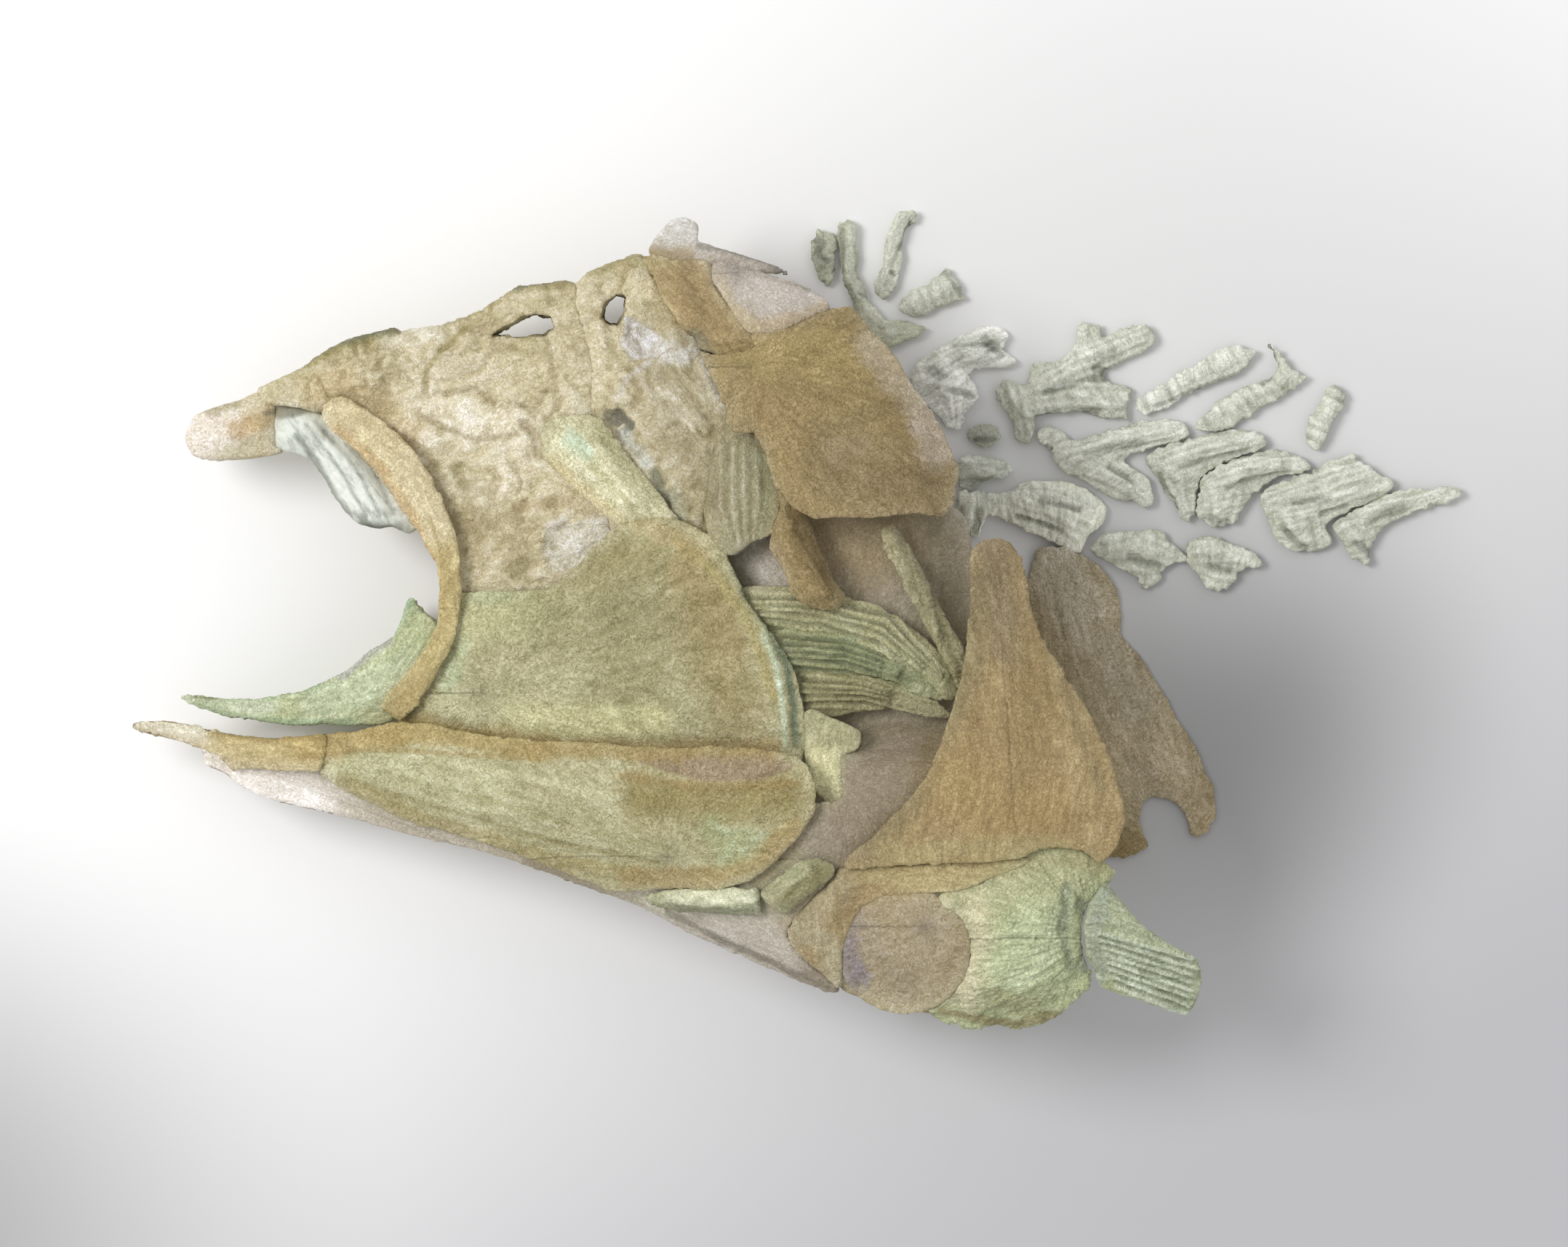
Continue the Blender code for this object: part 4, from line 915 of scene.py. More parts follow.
@dataclass
class Skull(BoneGroup):
    """The braincase, its roof and the snout, in the head's middle plane."""

    title: str = "skull"
    olive: str = "#8F8554"
    umber: str = "#8A7850"
    cream_highlight: str = "#E4DBC0"
    chalk_and_window_light: str = "#D3CFC4"
    ochre: str = "#BC9E6C"
    # Near-black, for the darkest sunk lines and spots.
    near_black: str = "#4A4B3E"

    def __post_init__(self) -> None:
        """List the bones with their marks."""
        olive, umber, cream_highlight, chalk_and_window_light, near_black = self.olive, self.umber, self.cream_highlight, self.chalk_and_window_light, self.near_black
        self.add(
            "snout", TAN, along((-103, 31), (-95, 33), (-88, 36)), THIN_PLATE,
            Mark(((-103, 32), (-97, 33)), 4.6, "#E8DECD", 0.9),
            Mark(((-94, 33.4), (-90, 35), (-87, 36)), 1.7, self.ochre, 0.7),
            Mark(((-97, 29.4), (-92, 30.4)), 1.1, "#CBC3A0", 0.6),
            Mark(((-99, 36.2), (-94, 37.4)), 0.7, olive, 0.5),
            Mark(((-89, 36.2), (-86, 37.4), (-82, 37.6)), 0.5, near_black, 0.75, -0.2),
            crease=0.45,
        )
        self.add(
            "skull_front", TAN, along((-90, 40), (-70, 42), (-45, 48), (-35, 50)), SPONGE,
            blot(((-78, 40), (-71, 36), (-66, 31)), 3.4, "#CDB585", 0.6),
            Mark(((-86, 42), (-76, 46), (-69, 48)), 1.8, "#B2A67C", 0.6),
            Mark(((-68, 48.6), (-57, 50.6)), 1.6, "#D9D1B6", 0.8),
            Mark(((-57, 51.4), (-47, 55.4), (-38, 56)), 2.4, "#B1A57B", 0.6),
            Mark(((-88, 42), (-76, 47), (-67, 50)), 0.6, olive, 0.75, 0.25),
            Mark(((-56, 52.6), (-46, 57), (-37, 58)), 0.7, olive, 0.75, 0.25),
            Mark(((-55, 53.4), (-49, 57), (-41, 58.4)), 0.9, "#5E6250", 0.8, 0.2),
            Mark(((-80, 46.4), (-74, 49), (-67, 50.4)), 0.9, "#63654E", 0.75, 0.2),
            Mark(((-55, 50.5), (-59, 46.8), (-61.6, 43), (-61.6, 39.5)), 0.55, "#9A8C5C", 0.8, -0.4),
            Mark(((-70, 46), (-69, 41.5)), 0.5, olive, 0.5, -0.3),
            # Cream on the folds: the crust's own pale, with a painted highlight.
            Mark(((-60, 37), (-52, 34.6), (-44, 33)), 3.2, cream_highlight, 0.55, 0.2),
            Mark(((-62, 30), (-52, 32), (-42, 29)), 2.2, cream_highlight, 0.45),
            Mark(((-56, 24), (-50, 22), (-46, 25)), 2.6, cream_highlight, 0.4),
            Mark(((-67, 33), (-61, 28.6), (-58, 24)), 0.6, umber, 0.5, -0.35),
            Mark(((-63, 36), (-58, 33.4), (-53, 31.6), (-46, 32.6)), 0.45, umber, 0.5, -0.35),
            Mark(((-45, 34.6), (-42.6, 32.4), (-42, 29)), 0.8, umber, 0.6, -0.5),
            Mark(((-56.4, 27), (-55.2, 23.4)), 1.0, olive, 0.45, -0.3),
            Mark(((-58, 39.6), (-53, 40.4), (-50, 38)), 0.5, umber, 0.5, -0.4),
            Mark(((-47, 38), (-43, 37), (-41, 40)), 0.5, umber, 0.5, -0.4),
            Mark(((-46, 47.6), (-42, 47)), 1.6, "#A5986A", 0.5),
            Mark(((-41, 50), (-39.6, 43), (-39, 37)), 0.5, umber, 0.45, -0.35),
            blot(((-55, 15), (-47, 12), (-42, 7)), 3.4, "#B5A781", 0.55),
            Mark(((-46, 20), (-38, 21), (-32, 19)), 0.9, "#A9966F", 0.5, -0.25),
            Mark(((-46, 8.6), (-44.6, 10.6)), 1.4, "#8D8359", 0.55, -0.3),
            # The window's dent and its edge are painted pale: painted light seen through it.
            Mark(
                (
                    (-30, 18), (-29.8, 15.8), (-33.3, 12.6), (-38, 9.4), (-39.7, 9.8), (-41, 12.6),
                    (-40.2, 15), (-37.4, 15.9), (-33.8, 17.3),
                ),
                0.6, "#D3CDB8", 0.9, -0.3, filled=True,
            ),
            Mark(((-40, 16.4), (-38, 17.4)), 1.0, "#CFC8B7", 0.7),
        )
        self.add(
            "skull_rear", TAN, along((-34, 50), (-25, 40), (-16, 30)), SPONGE,
            blot(((-17, 50), (-15, 38), (-12, 26), (-12, 17)), 5.0, "#A59A73", 0.65),
            blot(((-22, 44), (-20, 36), (-19, 30)), 5.0, "#A59A79", 0.7),
            Mark(((-33, 58), (-27, 60.6), (-21, 59), (-17.6, 53), (-15.6, 47)), 1.5, "#AEA177", 0.65),
            Mark(((-33, 59.8), (-27, 62.4), (-22, 61.8)), 0.6, olive, 0.6),
            # The window's dent and its edge are painted pale: painted light seen through it; the stroke after
            # them is the crust's own pale.
            Mark(
                ((-26.6, 52), (-24.2, 50.6), (-20.6, 48.2), (-21.6, 46.6), (-25.6, 45.8), (-27.4, 48)),
                0.6, chalk_and_window_light, 0.85, -0.2, filled=True,
            ),
            Mark(((-20.4, 46.8), (-17.6, 45.6)), 1.6, "#D3CFC0", 0.7),
            Mark(((-23, 45), (-27, 42), (-28.4, 39)), 0.6, chalk_and_window_light, 0.5, 0.2),
            Mark(((-30.4, 51.4), (-29.4, 47.4), (-30, 44)), 0.6, "#A19468", 0.5, -0.4),
            Mark(((-26.6, 43.6), (-24.6, 40), (-26, 37)), 0.7, umber, 0.5, -0.4),
            Mark(((-30.4, 35.8), (-28.4, 34.4)), 0.7, near_black, 0.85, -0.6),
            Mark(((-28.6, 36), (-26.2, 34.2), (-27, 33)), 0.6, near_black, 0.85, -0.6),
            Mark(((-27.4, 32), (-25, 29.4), (-23.8, 27.4)), 1.2, "#C6C8BC", 0.8, -0.3),
            Mark(((-22, 25.8), (-21.2, 23), (-20.4, 20.4)), 0.75, "#4F5642", 0.85, -0.7),
            Mark(((-18.8, 22), (-18, 18.6)), 1.1, "#B9BEAA", 0.7),
            Mark(((-16.4, 50), (-13.4, 42.6), (-10.4, 36)), 0.8, "#D6CDB2", 0.7, 0.45),
            Mark(((-10.2, 35), (-12, 29), (-13.4, 22)), 0.7, "#C9BF9F", 0.5, 0.3),
            # Cream on a fold: the crust's own pale, with a painted highlight.
            Mark(((-22, 40), (-18, 38), (-16, 34)), 1.0, cream_highlight, 0.4, 0.2),
        )
        self.add(
            "braincase_floor", TAN, along((-57, -1), (-36, 4), (-14, 13)), SPONGE,
            Mark(((-50, 0), (-36, 3), (-20, 12)), 3.0, "#B59F6C", 0.4),
        )
        self.add(
            "skull_roof_rear", OCHRE, along((-24, 63), (-14, 55), (-6, 47)), FEATHERED,
            Mark(((-24, 63), (-19.5, 62.6)), 2.0, "#B0A274", 0.6),
            Mark(((-17, 61), (-15.2, 56), (-13, 51.6)), 1.3, "#93805A", 0.75, -0.25),
            Mark(((-12.6, 62), (-10.4, 56.4), (-6.6, 51)), 1.3, "#CDBE95", 0.8),
            Mark(((-15, 49), (-13, 46.4)), 1.3, near_black, 0.85, -0.5),
            Mark(((-12.4, 47.6), (-8.6, 47.4), (-5.6, 48)), 0.7, "#8A784E", 0.7, -0.3),
        )
        self.add(
            "nuchal_plate", MAUVE, along((-22, 66), (-8, 63.5), (1, 61)), THIN_PLATE,
            Mark(((-20, 68), (-15, 65)), 3.6, "#DCD9D1", 0.85),
            Mark(((-13, 62.6), (-5, 61.8), (0, 60.4)), 1.6, "#C8BFB4", 0.8),
            Mark(((-22.5, 64), (-16, 63.6)), 0.9, "#AD9871", 0.7),
            Mark(((-15, 64.6), (-9, 63.4), (-4, 62), (0.4, 60.2)), 0.45, "#7B746A", 0.75),
        )
        self.add(
            "vomer", LAYERED, along((-84, 36), (-77, 28), (-68, 17)),
            Relief(
                fibre_width=0.45, fibre_length=12.0, fibre_depth=0.07, lump_height=0.05, pit_depth=0.0,
                fray=0.16, tone=0.5,
            ),
            Mark(((-82, 33), (-76, 26), (-70, 19)), 1.6, "#E4E9E1", 0.7),
            Mark(((-78, 33), (-72, 28), (-67, 22)), 1.1, "#B4B8AC", 0.6, -0.15),
            Mark(((-86.5, 36.4), (-81, 37.2), (-76, 35)), 0.9, "#55523F", 0.85, -0.4),
            Mark(((-84, 32.4), (-80, 27.6), (-76, 20.4), (-71, 17)), 0.5, "#83887B", 0.75),
            Mark(((-72, 17), (-66, 16.8)), 0.8, "#62655A", 0.75),
            *strands(
                ((-83, 34), (-77, 25), (-73, 18)), ((-78, 36), (-70, 28), (-66, 19)), 7,
                "#E2E4DA", "#989C90", width=0.3, height=0.1,
            ),
        )


@dataclass
class GillCover(BoneGroup):
    """The bones that cover the left cheek behind the eye, and those that carry them."""

    title: str = "left gill cover"
    haze: str = "#B2A48A"

    def __post_init__(self) -> None:
        """List the bones with their marks."""
        self.add(
            "temporal_left", MAUVE, radial(-8, 60), THIN_PLATE,
            Mark(((-9, 59), (-2, 57), (4, 55.4)), 4.5, "#C4BBAF", 0.85),
            Mark(((-10.6, 59), (-9, 54.6), (-5, 51)), 0.9, "#BFAF8C", 0.7),
            Mark(((-4, 51.4), (1, 52.4), (6, 54)), 0.9, "#B49F7B", 0.6),
            Mark(((-10.6, 61), (-3, 59.4), (4, 56.8)), 0.45, "#9A9184", 0.6),
        )
        self.add(
            "gill_cover_left", BROWN, radial(-6, 44), FEATHERED,
            blot(((-7, 47), (1, 47), (10, 46)), 4.4, "#A89562", 0.7),
            Mark(((-8, 42), (-7, 36), (-4, 31)), 1.6, "#A2906A", 0.6),
            blot(((10, 27), (18, 24), (25, 23)), 5.5, "#837353", 0.7),
            Mark(((14, 48), (21, 39), (27, 30)), 2.0, self.haze, 0.75, soft=0.8),
            Mark(((24, 35), (26, 29)), 2.4, "#B0A28E", 0.6),
            Mark(((4.5, 33), (12, 35), (19, 38)), 1.2, "#84734C", 0.5),
            Mark(((0, 41), (6, 38), (4, 33)), 1.6, "#8B7951", 0.45),
            Mark(((8, 30), (13, 30.6)), 1.8, "#A39372", 0.45),
        )
        self.add(
            "preopercle_left", BROWN, along((-2, 35), (1, 24), (2, 13), (8, 4)), BAR,
            Mark(((-2, 34), (1, 27)), 2.2, "#978562", 0.7),
            Mark(((1, 22), (3, 13), (7, 6)), 1.6, "#75643F", 0.7),
        )
        self.add(
            "hyomandibula_left", TAN, along((-9, 32), (-7, 24), (-8, 14)), PLATE,
            Mark(((-8, 34), (-8, 24), (-7, 12)), 6.0, "#969070", 0.9),
            Mark(((-11, 30), (-11, 20)), 1.8, "#8A8060", 0.7),
            Mark(((-4, 29), (-3.2, 22), (-4.5, 15.5)), 1.4, "#90906A", 0.8),
            *strands(
                ((-10.6, 31), (-11, 20), (-9, 14)), ((-4, 30), (-3.4, 22), (-4.6, 15)), 8,
                "#B6AF8E", "#85805C", width=0.25, height=0.12,
            ),
        )
        self.add(
            "subopercle_left", MAUVE, radial(8, -24), THIN_PLATE,
            # Where the plate shows deep under the arches, these three patches are its own mauve and brown
            # lightened as painted light against the shade there.
            Mark(((6, 14), (14, 12), (20, 14)), 6.0, "#9F8D6B", 0.85, soft=0.8),
            Mark(((-5.4, 12.4), (-2.4, 8.6), (0.4, 7)), 2.4, "#CAC2B5", 0.85),
            Mark(((26, 16), (29, 4), (30, -8)), 3.2, "#82785F", 0.8, soft=0.8),
            Mark(((12, -18.4), (24, -18), (29, -20)), 1.2, "#887C5C", 0.7),
            Mark(((12, -23), (22, -24), (14, -33)), 6.0, "#8F826B", 0.85, soft=0.8),
            blot(((25, -22), (24, -30), (16, -38)), 2.2, "#8C7B5A", 0.7),
        )


@dataclass
class Jaws(BoneGroup):
    """The left palate, cheek bar and lower jaw, and the throat plates."""

    title: str = "jaws"
    teal: str = "#475A48"

    def jaw_seam(self) -> tuple[Mark, ...]:
        """The ochre stain along the seam between jaw and palate, from the chin to the jaw's joint."""
        return (
            Mark(((-112, -17), (-104, -18.2), (-98, -19.6)), 1.3, "#E0D9C3", 0.85),
            Mark(((-113, -17), (-106, -18)), 2.2, height=-0.42),
            Mark(((-97, -21), (-90, -22), (-81, -22)), 2.2, "#BCA978", 0.8),
            Mark(((-83, -21), (-76, -20.4), (-68, -19)), 2.4, "#B39C66", 0.85, 0.15),
            Mark(((-70, -18.4), (-60, -18.6), (-50, -20.4), (-40, -21.4)), 2.3, "#A48F58", 0.85),
            Mark(((-42, -21.4), (-27, -21.8), (-14, -21.6), (-2, -21.6)), 1.6, "#9C8756", 0.85),
            Mark(((-98, -19.4), (-88, -20.2), (-76, -19.2), (-66, -17)), 0.45, "#9A8450", 0.7),
            Mark(((-84, -23), (-70, -21.6), (-56, -22.4), (-42, -23.4)), 0.45, "#9A8450", 0.6),
            Mark(((-66, -16.6), (-56, -18.2), (-44, -19.8)), 0.45, "#9A8450", 0.5),
        )

    def __post_init__(self) -> None:
        """List the bones with their marks."""
        seam = self.jaw_seam()
        self.add(
            "palate_left", GREEN, radial(-52, -12),
            Relief(fibre_length=2.0, fibre_depth=0.04, lump_size=1.9, lump_height=0.11),
            Mark(((-56, 3), (-55.6, -4), (-58, -11)), 1.5, "#B9C59D", 0.7),
            blot(((-58, 1), (-48, 2), (-42, 3)), 4.0, "#BDBB8C", 0.7),
            Mark(((-54, 4.4), (-46, 4.6), (-38, 7.6)), 1.0, "#AEB78E", 0.7),
            blot(((-36, 4), (-28, -4), (-24, -12)), 10.0, "#99936A", 0.85),
            blot(((-30, 3), (-24, 5), (-19, 0)), 4.0, "#8F8760", 0.6),
            blot(((-36, 9), (-28, 12), (-20, 12), (-16, 8)), 4.0, "#958B60", 0.75),
            blot(((-17, 9), (-12, 4), (-8, -4)), 2.4, "#A28B5E", 0.5),
            Mark(((-62, -13), (-54, -16), (-44, -17)), 2.4, "#C9C59A", 0.6, soft=0.8),
            # Lightened as painted light against the shadow of the jaw's edge.
            blot(((-46, -16), (-34, -17.4), (-22, -17.4)), 2.6, "#CDC896", 0.8),
            blot(((-14, 3), (-11, -8), (-8, -15)), 4.6, "#94855A", 0.8),
            Mark(((-18, 14), (-12, 9), (-7, 2), (-4, -5), (-1.8, -13)), 0.9, "#A2955F", 0.7, 0.3),
            Mark(((-9.6, 9.6), (-5.4, 3), (-2.6, -2)), 0.7, "#A9B08C", 0.7),
            Mark(((-3.6, -2), (-1.4, -7), (-0.2, -14), (0.2, -21)), 0.4, "#C2D0B2", 0.85, 0.25),
            Mark(((-7, 5.4), (-2.4, -1.6), (0.2, -7), (1.6, -14), (2, -21)), 0.6, self.teal, 0.95, -0.45),
            Mark(((-24, 17), (-19, 14.6), (-15, 12)), 1.6, "#B7A273", 0.5),
            *seam,
        )
        self.add(
            "palate_fan_left", GREEN, along((-40, 32), (-30, 24), (-18, 14)), FEATHERED,
            Mark(((-37, 31), (-30, 25), (-22, 17)), 3.2, "#DBD6B0", 0.85),
            Mark(((-36.6, 31.8), (-34, 29.6)), 1.5, "#C2D0B2", 0.8),
            Mark(((-39.6, 28), (-33, 21), (-27, 16.6)), 1.3, "#C9B888", 0.7),
            Mark(((-32, 33), (-27, 27), (-21.6, 20)), 0.6, "#A9A878", 0.6),
            Mark(((-33, 27), (-28, 22), (-23, 16)), 0.5, "#B7B083", 0.6, -0.25),
        )
        self.add(
            "front_blade_left", MINT, along((-104, -13), (-85, -15), (-70, -10), (-63, 0)), BAR,
            Mark(((-80, -13), (-71, -11), (-64, -8)), 3.4, "#C3CBA8", 0.7),
            Mark(((-104, -13), (-96, -14.4), (-88, -14.6)), 1.2, "#CBD1B4", 0.7),
            Mark(((-76, -9), (-71.5, -5.8), (-67.6, -3.2)), 0.8, "#A6A69C", 0.75),
            Mark(((-101, -14), (-92, -16), (-82, -16.8), (-74, -16.6)), 0.5, "#8FA27C", 0.7),
            Mark(((-98, -13.4), (-88, -13.2), (-79, -10.8)), 0.4, "#8FA27C", 0.6),
            Mark(((-67, -2), (-65, 2), (-64, 4)), 0.7, "#9DB38F", 0.7),
            Mark(((-62, -3), (-60.6, -9), (-63, -14)), 1.2, "#A9B487", 0.6),
        )
        bar_line = ((-77, 36), (-65, 26), (-58, 12), (-58, 0), (-67, -15))
        self.add(
            "cheek_bar_left", OCHRE, along(*bar_line), BAR,
            Mark(((-77, 37), (-70, 33), (-65, 26)), 3.0, "#CDBE97", 0.95),
            Mark(((-65, 26), (-60.6, 19), (-57.6, 12)), 3.0, "#CEC09B", 0.95),
            Mark(((-58, 11), (-57.4, 4), (-59, -3)), 2.8, "#B8A573", 0.85),
            Mark(((-60, -5), (-63, -10), (-67, -15)), 2.6, "#B4A06D", 0.85),
            Mark(((-77, 33.6), (-69, 26.6), (-63.4, 18), (-60.4, 11), (-59.6, 4)), 0.7, "#BE9C66", 0.75),
            Mark(((-60.8, 18), (-58.6, 12), (-57.4, 6)), 0.4, "#9F8A58", 0.5),
        )
        self.add(
            "dentary_left", OCHRE, along((-112, -17), (-97, -21), (-80, -22)), FEATHERED,
            Mark(((-98, -20), (-88, -23), (-80, -23)), 3.0, "#C6B88F", 0.9),
            *seam,
        )
        self.add(
            "angular_left", GREEN, radial(-20, -40),
            Relief(fibre_length=4.0, fibre_depth=0.06, lump_size=2.4, lump_height=0.10),
            blot(((-76, -24), (-62, -26), (-50, -28)), 4.0, "#BFBD93", 0.7),
            blot(((-24, -29.6), (-10, -31), (0, -29.4)), 4.0, "#90814E", 0.8),
            blot(((-22, -36), (-10, -40), (-2, -36)), 3.2, "#B0A87E", 0.55),
            Mark(((-76, -27), (-60, -34), (-40, -40.5), (-25, -43.5)), 1.2, "#9C8F5E", 0.75, 0.2),
            Mark(((-27, -43.6), (-12, -43.4), (-5, -41), (2, -34.6)), 1.5, "#A8915F", 0.8, 0.15),
            Mark(((-72, -27.8), (-56, -32.6), (-38, -38), (-22, -41)), 0.45, "#8E8355", 0.55, -0.1),
            Mark(((-66, -26.6), (-50, -30.6), (-32, -36), (-20, -38.6)), 0.45, "#A19C6E", 0.5, -0.1),
            Mark(((-56, -24.4), (-42, -27), (-28, -30)), 0.6, "#C8C59C", 0.5, 0.2),
            Mark(
                ((-25, -23), (-16, -22.8), (-4, -22.8), (1, -24.4), (-3, -26), (-12, -26.6), (-20, -25)),
                0.6, "#968266", 0.9, filled=True,
            ),
            Mark(((-27, -26.2), (-14, -28.2), (2, -27.4)), 0.9, "#957F50", 0.7, 0.2),
            blot(((-12, -35.6), (-9.6, -39.4), (-6, -37)), 2.4, "#A0A576", 0.65),
            blot(((-12.6, -34.4), (-9.4, -35.6), (-5, -35.4)), 0.5, "#BCC69E", 0.4, 0.1),
            blot(((-10.8, -41), (-8.6, -38), (-9.4, -35.8)), 0.6, "#BCC69E", 0.4, 0.1),
            blot(((-7, -39), (-5.4, -37), (-3.4, -36.2)), 0.5, "#BBC49F", 0.5, 0.1),
            *seam,
        )
        self.add(
            "quadrate_left", MINT, along((7, -17), (6, -24), (8, -30)), BAR,
            Mark(((6.2, -22), (7.4, -29)), 2.2, "#EDE6B2", 0.95),
            Mark(((4, -15.6), (7, -19), (13, -20)), 2.4, "#A8A27C", 0.85),
            Mark(((4, -20), (4.6, -27)), 0.35, "#8A8A62", 0.6),
        )
        self.add(
            "gular_left", MAUVE, along((-100, -22), (-60, -34), (-20, -49), (8, -61)), THIN_PLATE,
            Mark(((-100, -23), (-88, -28), (-76, -31)), 4.0, "#F6EFE4", 0.9),
            Mark(((-74, -32), (-60, -36), (-48, -40)), 3.0, "#C9BFAD", 0.8),
            Mark(((-24, -48), (-12, -51.6), (0, -56)), 4.0, "#C8C0AF", 0.85),
            Mark(((-1, -50), (4, -54), (7, -58)), 1.6, "#AC9F87", 0.6),
            Mark(((-20, -49.6), (-10, -54.6), (0, -59), (8, -62.4)), 0.45, "#77705F", 0.75),
            Mark(((-96, -23.6), (-84, -27), (-72, -30)), 0.5, "#CBBFAE", 0.6),
        )


@dataclass
class Gills(BoneGroup):
    """The left gill arches and the bars of the tongue's skeleton."""

    title: str = "gill arches"
    teal: str = "#72745A"

    def __post_init__(self) -> None:
        """List the bones with their marks."""
        teal = self.teal
        self.add(
            "gill_arch_upper_left", GREEN, along((-8, 2.5), (4, 2.4), (19, -2), (28, -12)), BAR,
            Mark(((-8, 3), (6, 2), (18, -2), (27, -11)), 4.0, "#98966D", 0.85),
            *strands(
                ((-7, 5.2), (6, 4.8), (18, 2), (28, -9)), ((-3, 0.2), (6, -0.8), (16, -4), (24, -9)), 9,
                "#C4C096", teal, width=0.26,
            ),
        )
        self.add(
            "gill_arch_middle_left", MINT, along((-1, -4.5), (12, -5.4), (22, -10)), BAR,
            Mark(((-1, -4), (8, -4.4), (20, -9)), 3.4, "#7C7752", 0.9),
            Mark(((12, -3.4), (17, -5), (21, -8)), 2.6, "#76825F", 0.75, soft=0.8),
            *strands(
                ((0, -1.6), (10, -2.6), (21, -7)), ((1, -8), (11, -8.6), (23, -11.4)), 11,
                "#A8AC80", "#525F48", width=0.26,
            ),
        )
        self.add(
            "gill_arch_lower_left", GREEN, along((1, -10), (14, -11), (29, -16)), BAR,
            Mark(((2, -11), (12, -12), (20, -13)), 3.0, "#7F7953", 0.85),
            Mark(((20, -13), (28, -15)), 2.0, "#A7A07A", 0.8),
            *strands(
                ((3, -9), (13, -10), (26, -14)), ((3, -14.4), (14, -14), (27, -16.4)), 9,
                "#B0AA80", "#666446", width=0.26,
            ),
        )
        self.add(
            "gill_ray_left", GREEN, along((20, 16), (24, 5), (29, -11)), BAR,
            Mark(((20, 15), (23, 8), (25, 3)), 2.0, "#777052", 0.85),
            Mark(((25, 3), (28, -5), (29, -11)), 2.0, "#8D8662", 0.85),
            Mark(((21, 13), (25, 3), (28.6, -8)), 0.5, "#A5A27C", 0.6, 0.2),
        )
        self.add(
            "hyoid_front_left", MINT, along((-20, -47.4), (-4, -47.6)), BAR,
            # A painted highlight along the bar's top, and painted shade along its underside and at its right
            # end.
            Mark(((-19, -47), (-5, -47)), 1.3, "#E2E3C2", 0.9, 0.2),
            Mark(((-22, -48.2), (-16, -49), (-5, -49.4)), 0.6, "#5C5F3C", 0.9, -0.2),
            Mark(((-4.6, -45.6), (-4, -49)), 0.6, "#5C5F3C", 0.85, -0.2),
        )
        self.add(
            "hyoid_rear_left", MINT, along((-3, -48), (7, -42)), BAR,
            Mark(((-3, -48), (7, -42)), 2.0, "#857C52", 0.85),
            Mark(((-2.4, -46.8), (4, -42.4)), 0.6, "#C2C09A", 0.7, 0.25),
            Mark(((0, -49), (7.6, -43.4)), 0.5, "#7D7A52", 0.75),
        )


